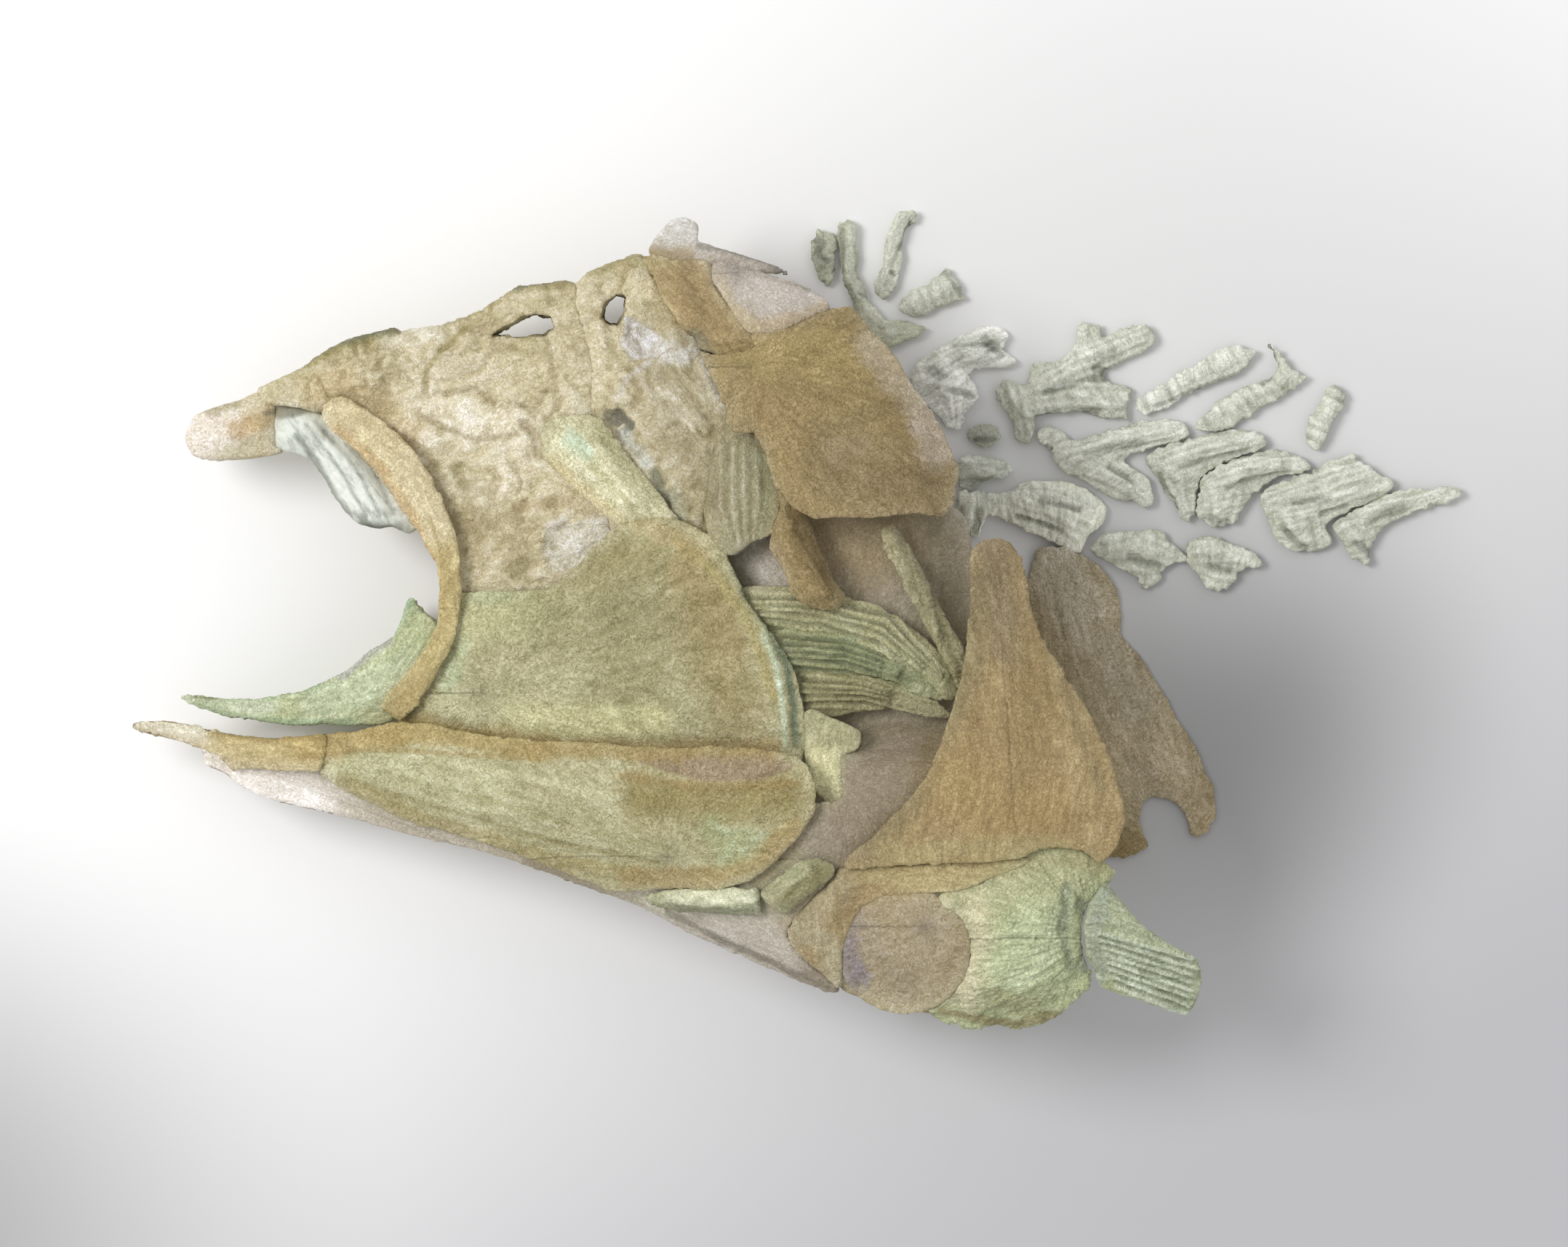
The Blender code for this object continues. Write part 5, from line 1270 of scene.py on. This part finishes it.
@dataclass
class Girdle(BoneGroup):
    """The left shoulder girdle and fin, and the keel under them."""

    title: str = "shoulder girdle"

    def __post_init__(self) -> None:
        """List the bones with their marks."""
        self.add(
            "cleithrum_left", OCHRE, along((36, 13), (40, -5), (44, -22), (40, -40)), FEATHERED,
            Mark(((36, 12), (37, 4), (38, -4)), 3.4, "#908064", 0.8, soft=0.8),
            blot(((32.6, 6), (30, -9), (24, -24), (14, -38)), 3.2, "#887B5A", 0.85),
            blot(((42, -4), (43, -14), (42, -20)), 3.4, "#937E56", 0.65),
            blot(((30, -26), (36, -34), (46, -32)), 5.0, "#A78F60", 0.6),
            Mark(((18, -39.4), (32, -38.4), (46, -38)), 1.8, "#AFA073", 0.7, soft=0.8),
            Mark(((44, 0), (49, -14), (54, -28)), 1.0, "#8F7F5E", 0.6),
            blot(((48, -20), (51, -28), (53, -36)), 2.2, "#B09B72", 0.65),
        )
        self.add(
            "clavicle_left", OCHRE, along((40, -41), (20, -43), (8, -48), (8, -60)), PLATE,
            Mark(((14, -43), (28, -43), (38, -41.6)), 2.4, "#B9A87A", 0.85),
            Mark(((10, -44), (7, -48), (3, -53)), 2.2, "#A39678", 0.8),
            Mark(((4, -52), (8, -56), (10, -62)), 2.0, "#B1A787", 0.8),
            Mark(((9.4, -46), (9, -50), (10, -54)), 0.6, "#8F8059", 0.6),
        )
        self.add(
            "basal_disc_left", TAN, radial(24, -52), BAR,
            Mark(((16, -54), (22, -56), (28, -54)), 9.0, "#A39477", 0.95),
            blot(((28, -50), (29, -56), (26, -62)), 2.4, "#B5A47E", 0.6),
            Mark(((18, -48.6), (25, -48)), 3.0, "#AF9F7B", 0.7),
            Mark(((11.4, -49), (10.4, -55), (12.4, -61)), 2.1, "#89807E", 0.9),
            Mark(((28, -60), (30.6, -54), (29.4, -49)), 0.8, "#A08E6C", 0.7),
            blot(((20, -54), (26, -57)), 3.0, "#B5A583", 0.6),
        )
        self.add(
            "scapulocoracoid_left", MINT, radial(54, -54),
            Relief(fibre_width=0.4, fibre_length=5.0, fibre_depth=0.17, lump_height=0.45, fray=0.6),
            blot(((33, -49), (32.6, -56), (31, -64)), 2.8, "#D0C8A4", 0.85),
            Mark(((38, -45), (44, -43), (50, -42.4)), 3.0, "#BAB88F", 0.7, soft=0.8),
            blot(((38, -58), (43, -52), (46, -60)), 3.4, "#CAD2A8", 0.7),
            blot(((40, -62), (45, -58), (48, -50)), 1.4, "#D6DEB6", 0.6),
            Mark(((48.6, -45.4), (48, -52), (49.4, -59)), 0.8, "#9AA286", 0.7, -0.5),
            Mark(((51, -48), (52.2, -53), (51.6, -59)), 1.0, "#858976", 0.8, -0.4),
            Mark(((44, -40.8), (50, -40.6), (54.6, -42.6)), 1.0, "#A39D72", 0.65, 0.3),
            Mark(((27, -66.6), (33, -67.6), (40, -68.6), (47, -66.6)), 0.6, "#8C7E55", 0.75),
            Mark(((36, -64), (42, -66)), 1.8, "#B1AE84", 0.6),
            voxel=0.32,
        )
        self.add(
            "girdle_keel", TAN, along((9, -63), (27, -66.5), (45, -68)), PLATE,
            Mark(((12, -64), (27, -67.5), (40, -69)), 0.8, "#8E7C52", 0.7),
        )
        self.add(
            "pectoral_fin_left", MINT, along((53, -54), (72, -60)), BAR,
            Mark(((54, -47), (62, -55), (70, -61)), 6.0, "#B4BA9A", 0.7),
            Mark(((54.6, -46), (53.4, -53), (54.4, -60)), 1.3, "#A2A994", 0.8),
            *strands(
                ((54, -53), (71, -58)), ((57, -62), (69, -66.6)), 15,
                "#DCE3C8", "#8E967F", width=0.27, height=0.24,
            ),
            Mark(((71, -58), (70, -66)), 0.8, "#A2A888", 0.6),
        )


@dataclass
class RightSide(BoneGroup):
    """The bones of the side that the fish lies on."""

    title: str = "right side"
    coarse: float = 0.48

    def __post_init__(self) -> None:
        """List the bones. The large plates, of which little shows, have a coarser mesh."""
        coarse = self.coarse
        self.add("gill_cover_right", MAUVE, radial(0, 30), THIN_PLATE, voxel=coarse)
        self.add("cheek_bar_right", OCHRE, along((-76, 36), (-58, 12), (-66, -15)), BAR)
        self.add("palate_right", MAUVE, radial(-50, -12), PLATE, voxel=coarse)
        self.add("front_blade_right", MINT, along((-104, -13), (-80, -15), (-63, 0)), BAR)
        self.add("dentary_right", OCHRE, along((-112, -17), (-80, -22)), BAR)
        self.add("angular_right", GREEN, radial(-20, -40), PLATE, voxel=coarse)
        self.add("gular_right", MAUVE, along((-100, -22), (-20, -49), (8, -61)), THIN_PLATE, voxel=coarse)
        self.add(
            "cleithrum_right", BROWN, along((50, 12), (56, -8), (66, -28)), FEATHERED,
            # The right cleithrum lies in the left one's shadow: these patches are its own browns lightened as
            # painted light.
            Mark(((50, 10), (56, -8), (64, -26)), 9.0, "#AC9E80", 0.95),
            Mark(((47, 10), (51, 3)), 4.0, "#C6BCA4", 0.8, soft=0.8),
            Mark(((56, -4), (61, -14)), 3.2, "#A0967E", 0.6, soft=0.8),
            Mark(((66, -22), (70, -28), (72, -34)), 2.6, "#B9A887", 0.8),
            Mark(((58, -20), (56, -32)), 2.6, "#B8A886", 0.6),
        )
        self.add("scapulocoracoid_right", MINT, radial(42, -55), PLATE, voxel=coarse)


@dataclass
class Vertebrae(BoneGroup):
    """The loose arches, spines and centra behind the head."""

    title: str = "vertebrae"
    # The crest and fold colours paint highlights, and the hollow and gap colours paint shade.
    crest_highlight: str = "#E4E6D8"
    painted_hollow_shade: str = "#7C7F70"
    fold_highlight: str = "#F2F4E8"
    gap: str = "#8E9182"

    def arch(self, node: str, growth: Growth, *marks: Mark, tone_and_painted_light: str = "#D2D4C2") -> None:
        """List one loose bone: a leafy surface washed with its own grey, lightened as painted light on bones
        in the head's shadow, then its ridges and hollows.
        """
        shade = Mark(growth.points, width=14.0, colour=tone_and_painted_light, strength=0.9)
        self.add(node, GREY, growth, LEAF, shade, *marks, rim_width=0.7, rim_share=0.3, voxel=0.30)

    def ridge(self, *points: Pair, width: float = 0.9, height: float = 0.45) -> Mark:
        """A raised strut, with a painted highlight along its crest."""
        return Mark(points, width, self.crest_highlight, strength=0.55, height=height)

    def dip(self, *points: Pair, width: float = 0.6, depth: float = 0.5) -> Mark:
        """A hollow, with painted shade at its bottom."""
        return Mark(points, width, self.painted_hollow_shade, strength=0.62, height=-depth)

    def pleats(self, first: Points, last: Points, count: int, height: float = 0.10) -> tuple[Mark, ...]:
        """Fine folds side by side, from the first line to the last, with painted highlights on the proud ones
        and painted shade in the sunk ones.
        """
        return strands(first, last, count, self.fold_highlight, self.gap, width=0.26, height=height, strength=0.22)

    def __post_init__(self) -> None:
        """List the bones with their ridges, hollows and pleats."""
        ridge, dip, arch, pleats = self.ridge, self.dip, self.arch, self.pleats
        arch(
            "neck_centrum", radial(6.8, 63),
            dip((5, 66.6), (6.6, 65.4), (5.6, 64), (7.4, 62.4)), dip((9.4, 64), (9, 61), width=0.5),
            tone_and_painted_light="#C2C4AE",
        )
        arch(
            "neck_arch", along((10.6, 69), (11, 60), (16, 50.5), (24, 50.5)),
            ridge((11.6, 68), (11.6, 61), (14, 55), (18, 50.4)),
            dip((10.2, 68), (10, 60), (12.6, 54), width=0.45, depth=0.2),
            dip((12.8, 57), (15, 56), width=0.35, depth=0.2), tone_and_painted_light="#C2C4AC",
        )
        arch(
            "neck_spine", along((21.5, 71), (18.6, 62), (17, 56.5)),
            ridge((20.4, 70), (18.4, 64), (16.8, 58), width=0.8),
            dip((22, 68.6), (20, 65)), dip((18.6, 60.6), (19.2, 60), width=0.4),
        )
        arch(
            "spine_stub_1", across((20, 54.5), (30.5, 58.5)),
            ridge((21, 55), (29, 58.6), width=1.3),
            *pleats(((20.4, 56.4), (21.4, 53.6)), ((27, 60.6), (29, 56)), 9, 0.06),
            dip((27.6, 60.4), (30.4, 56.6), width=0.35, depth=0.2),
        )
        # arch_1 lies in the head's shadow: its wash is lightened as painted light.
        arch(
            "arch_1", along((23, 42.5), (30, 46.5), (38, 49)),
            ridge((24, 44.4), (31, 48.4), (36, 49), width=1.3),
            ridge((31, 45.4), (38, 45.4), width=0.8),
            dip((29.4, 47.6), (34, 48.4), (37.6, 46.4), width=0.4, depth=0.3),
            dip((34.6, 49), (36.6, 47.8), width=0.5, depth=0.5),
            dip((25.6, 43.4), (27.4, 42.6), width=1.0),
            dip((28, 40.4), (32, 39.4)),
            *pleats(((24, 45.4), (31, 49.6), (38, 50.4)), ((27, 41.6), (31, 44), (38, 45.4)), 9),
            *pleats(((25, 41), (28.4, 35.4)), ((33, 42), (31, 35)), 7), tone_and_painted_light="#FFFFF6",
        )
        arch("centrum_1", radial(34.4, 32.3), dip((33, 31.4), (36, 31.6), width=0.8))
        # rib_head_1 lies in the head's shadow: its wash is lightened as painted light.
        arch(
            "rib_head_1", along((30.5, 26), (38.6, 26.6)),
            ridge((31, 27.4), (37, 27.2)), dip((30.6, 24.4), (37.6, 24.2), width=0.8),
            tone_and_painted_light="#E6E8DA",
        )
        # rib_arch_1 lies in the head's shadow: its wash is lightened as painted light.
        arch(
            "rib_arch_1", across((30, 19), (42, 20), (55, 19)),
            ridge((31, 21.4), (42, 22.6), (53, 20.6), width=1.1),
            dip((40, 18.6), (48, 16), width=0.4, depth=0.3), dip((33.6, 19.4), (33, 16.4), width=0.9),
            dip((44, 21), (51, 19.6), width=0.4, depth=0.3),
            *pleats(((40, 24), (47, 23.6), (54, 20.6)), ((42, 17.6), (46, 15.6), (50, 13.2)), 11),
            *pleats(((32, 22.6), (32.6, 16.6)), ((40, 23), (39.6, 17.6)), 9, 0.07),
            tone_and_painted_light="#FEFFEC",
        )
        arch(
            "rib_arch_2", across((54, 13), (62, 13), (69, 11)),
            ridge((56, 14.4), (63, 14.8), (67, 12.4)), dip((60, 11.4), (64, 10), width=0.9),
            *pleats(((54, 14), (61, 16), (68, 12.6)), ((58, 9), (62, 7), (65, 8.4)), 9),
        )
        arch(
            "rib_arch_3", across((70, 12), (76, 11), (82, 10)),
            ridge((71.4, 13.2), (76, 13), (81, 10.8)), dip((74, 9.6), (77, 9.4), width=0.9),
            *pleats(((70, 13.6), (75, 14.6), (82, 11.4)), ((72.4, 8), (75, 6), (78, 6.6)), 9),
        )
        arch(
            "arch_2", across((38, 38), (48, 40), (60, 50)),
            ridge((40, 39), (47, 43), (54, 47), (62, 50), width=1.2),
            ridge((42, 36.6), (50, 38.4), (59, 37.6), width=1.1),
            ridge((51.6, 51), (50, 45), (47, 41), width=0.8),
            dip((45, 39.8), (52, 42), (58, 43)), dip((44, 35.4), (49, 35.8), (54, 36.4), width=0.8),
            dip((53.6, 44), (57, 43), width=0.5),
            *pleats(((44, 43.6), (54, 48.6), (62, 51.4)), ((47, 40.6), (56, 44.6), (63, 48)), 7),
            *pleats(((42, 40), (50, 41.4), (59, 41)), ((43, 36), (51, 36.6), (59, 36)), 7),
            *pleats(((37.4, 40), (40, 32)), ((41.4, 40), (42.4, 33)), 5),
        )
        # spine_1 lies partly in the head's shadow: its wash is lightened as painted light.
        arch(
            "spine_1", across((61.5, 37.4), (81, 46)),
            ridge((62, 38), (71, 42.6), (80, 46.4)),
            dip((64, 37.4), (72, 40.6), (79, 43.6), width=0.35, depth=0.2),
            *pleats(((60.6, 39.4), (62.4, 35.4)), ((77.6, 48), (81, 44)), 19, 0.06), tone_and_painted_light="#E8EADC",
        )
        arch(
            "spine_2", across((72, 34.4), (88, 43)),
            ridge((72.4, 35), (80, 39.6), (88, 42.6)),
            dip((84.2, 47.8), (84.6, 44.4), (83, 41.6), width=0.5),
            *pleats(((71, 35.6), (73, 32.6)), ((84, 43.4), (88, 40.6)), 17, 0.06),
        )
        arch(
            "spine_3", across((91, 31), (95.6, 40)), ridge((91.6, 31.4), (95.2, 39.6)),
            *pleats(((89.4, 32), (93, 30)), ((93, 41), (97, 39)), 11, 0.06),
        )
        # arch_3 lies partly in the head's shadow: its wash is lightened as painted light.
        arch(
            "arch_3", along((48, 27), (58, 31), (69, 33.6)),
            ridge((48.4, 28), (57, 31.8), (68, 33.6), width=1.2),
            ridge((53, 26), (58.6, 24.6), (62.6, 21.4)),
            dip((52, 29), (56, 30), (62, 31)), dip((56.4, 27), (60, 24.8)),
            *pleats(((47, 32), (57, 34.4), (68, 35.4)), ((50, 26.6), (58, 29), (68, 32)), 9),
            *pleats(((55, 28), (59.6, 26), (63.6, 22)), ((51, 25), (57, 22.4), (62, 20)), 7),
            tone_and_painted_light="#E0E2D2",
        )
        arch(
            "arch_4", along((64, 27), (72, 29), (82, 31.6)),
            ridge((63.6, 28), (72, 30.8), (82, 31.8), width=1.2),
            ridge((66, 27), (69.4, 19)),
            dip((68, 27), (74, 28.4), (80, 30)), dip((64.8, 25.6), (67.6, 19.6), width=0.5),
            *pleats(((63, 29.4), (72, 33), (82, 33.4)), ((67, 25.4), (73, 27.6), (82, 30.4)), 9),
            *pleats(((63.6, 25), (68.4, 18.6)), ((70.4, 26), (70.6, 19)), 7),
        )
        arch(
            "arch_5", along((73, 24), (80, 26), (90, 27.4)),
            ridge((73, 25), (80, 27.8), (89, 27.8), width=1.2),
            ridge((74, 24), (75, 18.4)),
            dip((76.6, 23.4), (81, 25), (87, 26)), dip((72.6, 18), (76, 17.4), width=0.8),
            *pleats(((73, 27.4), (81, 30), (90, 29)), ((75, 22.6), (80, 24), (88, 26)), 9),
            *pleats(((72.6, 22), (73, 17.6)), ((79, 22.4), (77.4, 17)), 7),
        )
        arch(
            "arch_6", along((83, 20), (92, 22), (104, 24.4)),
            ridge((84, 21.6), (92, 24), (100, 26.6), width=1.2),
            ridge((86, 19), (90, 14)),
            ridge((91, 21), (98, 22.4), (104, 24)),
            dip((88, 21), (94, 21.6)), dip((86, 16.4), (90, 12.4)), dip((93, 19), (97, 20)),
            *pleats(((83, 23), (92, 27.4), (99, 29)), ((86, 18.4), (95, 20.4), (104, 24)), 11),
            *pleats(((84, 19.6), (87, 13)), ((92, 19), (93, 13)), 7),
        )
        arch(
            "arch_7", along((95, 16), (104, 19), (116, 22.4)),
            ridge((96, 17), (104, 20.6), (116, 22.6), width=0.9),
            ridge((97.6, 16.4), (100.4, 11)),
            dip((101, 17.6), (107, 20)), dip((98.8, 14), (101.6, 12)),
            *pleats(((95, 19), (104, 22.4), (115, 23.8)), ((97, 15.4), (104, 17.4), (112, 21.4)), 7),
        )


@dataclass(frozen=True)
class PaintedShade:
    """A soft round patch of painted shade on the paper, behind the shoulder or in a corner of the view."""

    middle: Triple
    reach: float
    share: float


@dataclass
class Studio:
    """The pale floor, the soft light and the camera that looks straight down.

    Lengths are in metres, but the camera's sensor is in millimetres.
    """

    view_width: float = 0.2695
    camera_rise: float = 6.0
    eye_level: float = 0.030
    sensor: float = 36.0
    near_and_far: Pair = (0.1, 20.0)
    floor_size: float = 3.0
    floor_drop: float = 0.0002
    floor_roughness: float = 0.9
    floor_gloss: float = 0.1
    paper: str = "#FAFAFA"
    # The grey, its slope and its range paint shade on the paper, deepening to the lower right.
    grey: str = "#BEBEC1"
    grey_slope: Triple = (0.484, -0.875, 0.0)
    grey_from: float = -0.039
    grey_to: float = 0.131
    # Round patches of painted shade: two deepen the shadow beside and above the shoulder, one darkens the
    # lower left corner.
    painted_shades: tuple[PaintedShade, ...] = (
        PaintedShade((0.0793, -0.0146, 0.0), 0.0535, 0.50),
        PaintedShade((0.0725, 0.0541, 0.0), 0.130, 0.20),
        PaintedShade((-0.1650, -0.1050, 0.0), 0.100, 0.53),
    )
    key_place: Triple = (-0.95, 0.32, 1.30)
    key_size: float = 0.75
    key_power: float = 14.0
    key_aim: Triple = (0.0, 0.0, 0.02)
    fill_strength: float = 0.70

    @property
    def centre(self) -> Pair:
        """The middle of the view on the floor, in metres."""
        return DRAWING_SHIFT[0] * MM, DRAWING_SHIFT[1] * MM

    def build(self) -> None:
        """Make the floor, the lights and the camera."""
        self.build_floor()
        self.build_lights()
        self.build_camera()
        LOG.info("studio: floor, light and camera")

    def build_floor(self) -> None:
        """Lay a pale matt floor, with painted shade that deepens to the lower right and round patches of
        painted shade.
        """
        bpy.ops.object.select_all(action="DESELECT")
        bpy.ops.mesh.primitive_plane_add(size=self.floor_size, location=(0.0, 0.0, -self.floor_drop))
        floor = bpy.context.object
        floor.name = "floor"
        material = bare_material("paper_with_painted_shade")
        tree = material.node_tree
        place = add_node(tree, "ShaderNodeTexCoord", {}).outputs["Object"]
        # Painted shade: the paper's grey deepens to the lower right.
        down = add_node(
            tree, "ShaderNodeVectorMath", {0: place, 1: self.grey_slope}, operation="DOT_PRODUCT"
        ).outputs["Value"]
        shade = add_node(
            tree, "ShaderNodeMapRange",
            {"Value": down, "From Min": self.grey_from, "From Max": self.grey_to},
            interpolation_type="SMOOTHSTEP",
        ).outputs["Result"]
        tone = add_node(
            tree, "ShaderNodeMix",
            {
                MIX_SHARE: shade, MIX_FIRST: (*linear(self.paper), 1.0),
                MIX_SECOND: (*linear(self.grey), 1.0),
            },
            data_type="RGBA",
        ).outputs[MIX_RESULT]
        # Each round patch darkens the paper: painted shade.
        for spot in self.painted_shades:
            away = add_node(
                tree, "ShaderNodeVectorMath", {0: place, 1: spot.middle}, operation="DISTANCE"
            ).outputs["Value"]
            near = add_node(
                tree, "ShaderNodeMapRange",
                {"Value": away, "From Min": 0.0, "From Max": spot.reach, "To Min": spot.share, "To Max": 0.0},
                interpolation_type="SMOOTHSTEP",
            ).outputs["Result"]
            tone = add_node(
                tree, "ShaderNodeMix",
                {MIX_SHARE: near, MIX_FIRST: tone, MIX_SECOND: (0.0, 0.0, 0.0, 1.0)}, data_type="RGBA",
            ).outputs[MIX_RESULT]
        shader = add_node(
            tree, "ShaderNodeBsdfPrincipled",
            {"Base Color": tone, "Roughness": self.floor_roughness, "Specular IOR Level": self.floor_gloss},
        )
        add_node(tree, "ShaderNodeOutputMaterial", {"Surface": shader.outputs["BSDF"]})
        floor.data.materials.append(material)

    def build_lights(self) -> None:
        """Hang a soft light on the upper left, and light the rest evenly."""
        bpy.ops.object.light_add(type="AREA", location=self.key_place)
        key = bpy.context.object
        key.name = "key_light"
        key.data.energy = self.key_power
        key.data.shape = "DISK"
        key.data.size = self.key_size
        run, side, rise = np.array(self.key_place) - np.array(self.key_aim)
        key.rotation_mode = "XYZ"
        lean = math.atan2(math.hypot(run, side), rise)
        key.rotation_euler = (lean, 0.0, math.atan2(side, run) + math.pi / 2)
        world = bpy.data.worlds.new("studio_air")
        bpy.context.scene.world = world
        world.use_nodes = True
        back = world.node_tree.nodes["Background"]
        back.inputs["Color"].default_value = (1.0, 1.0, 1.0, 1.0)
        back.inputs["Strength"].default_value = self.fill_strength

    def build_camera(self) -> None:
        """Hang a camera with a very long lens over the middle of the view."""
        reach = self.camera_rise - self.eye_level
        bpy.ops.object.camera_add(location=(*self.centre, self.camera_rise), rotation=(0.0, 0.0, 0.0))
        camera = bpy.context.object
        camera.name = "camera"
        camera.data.sensor_width = self.sensor
        camera.data.lens = self.sensor * reach / self.view_width
        camera.data.clip_start, camera.data.clip_end = self.near_and_far
        bpy.context.scene.camera = camera
        bpy.context.scene.view_settings.view_transform = "Standard"


def main() -> None:
    """Build the fish and its studio."""
    logging.basicConfig(level=logging.INFO, format="%(name)s: %(message)s")
    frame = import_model()
    groups = (Skull(), GillCover(), Jaws(), Gills(), Girdle(), RightSide(), Vertebrae())
    stains = Stains()
    for order, group in enumerate(groups):
        group.build(frame, stains, GROUP_SEEDS * (order + 1))
    stains.run()
    Studio().build()


if __name__ == "__main__":
    main()
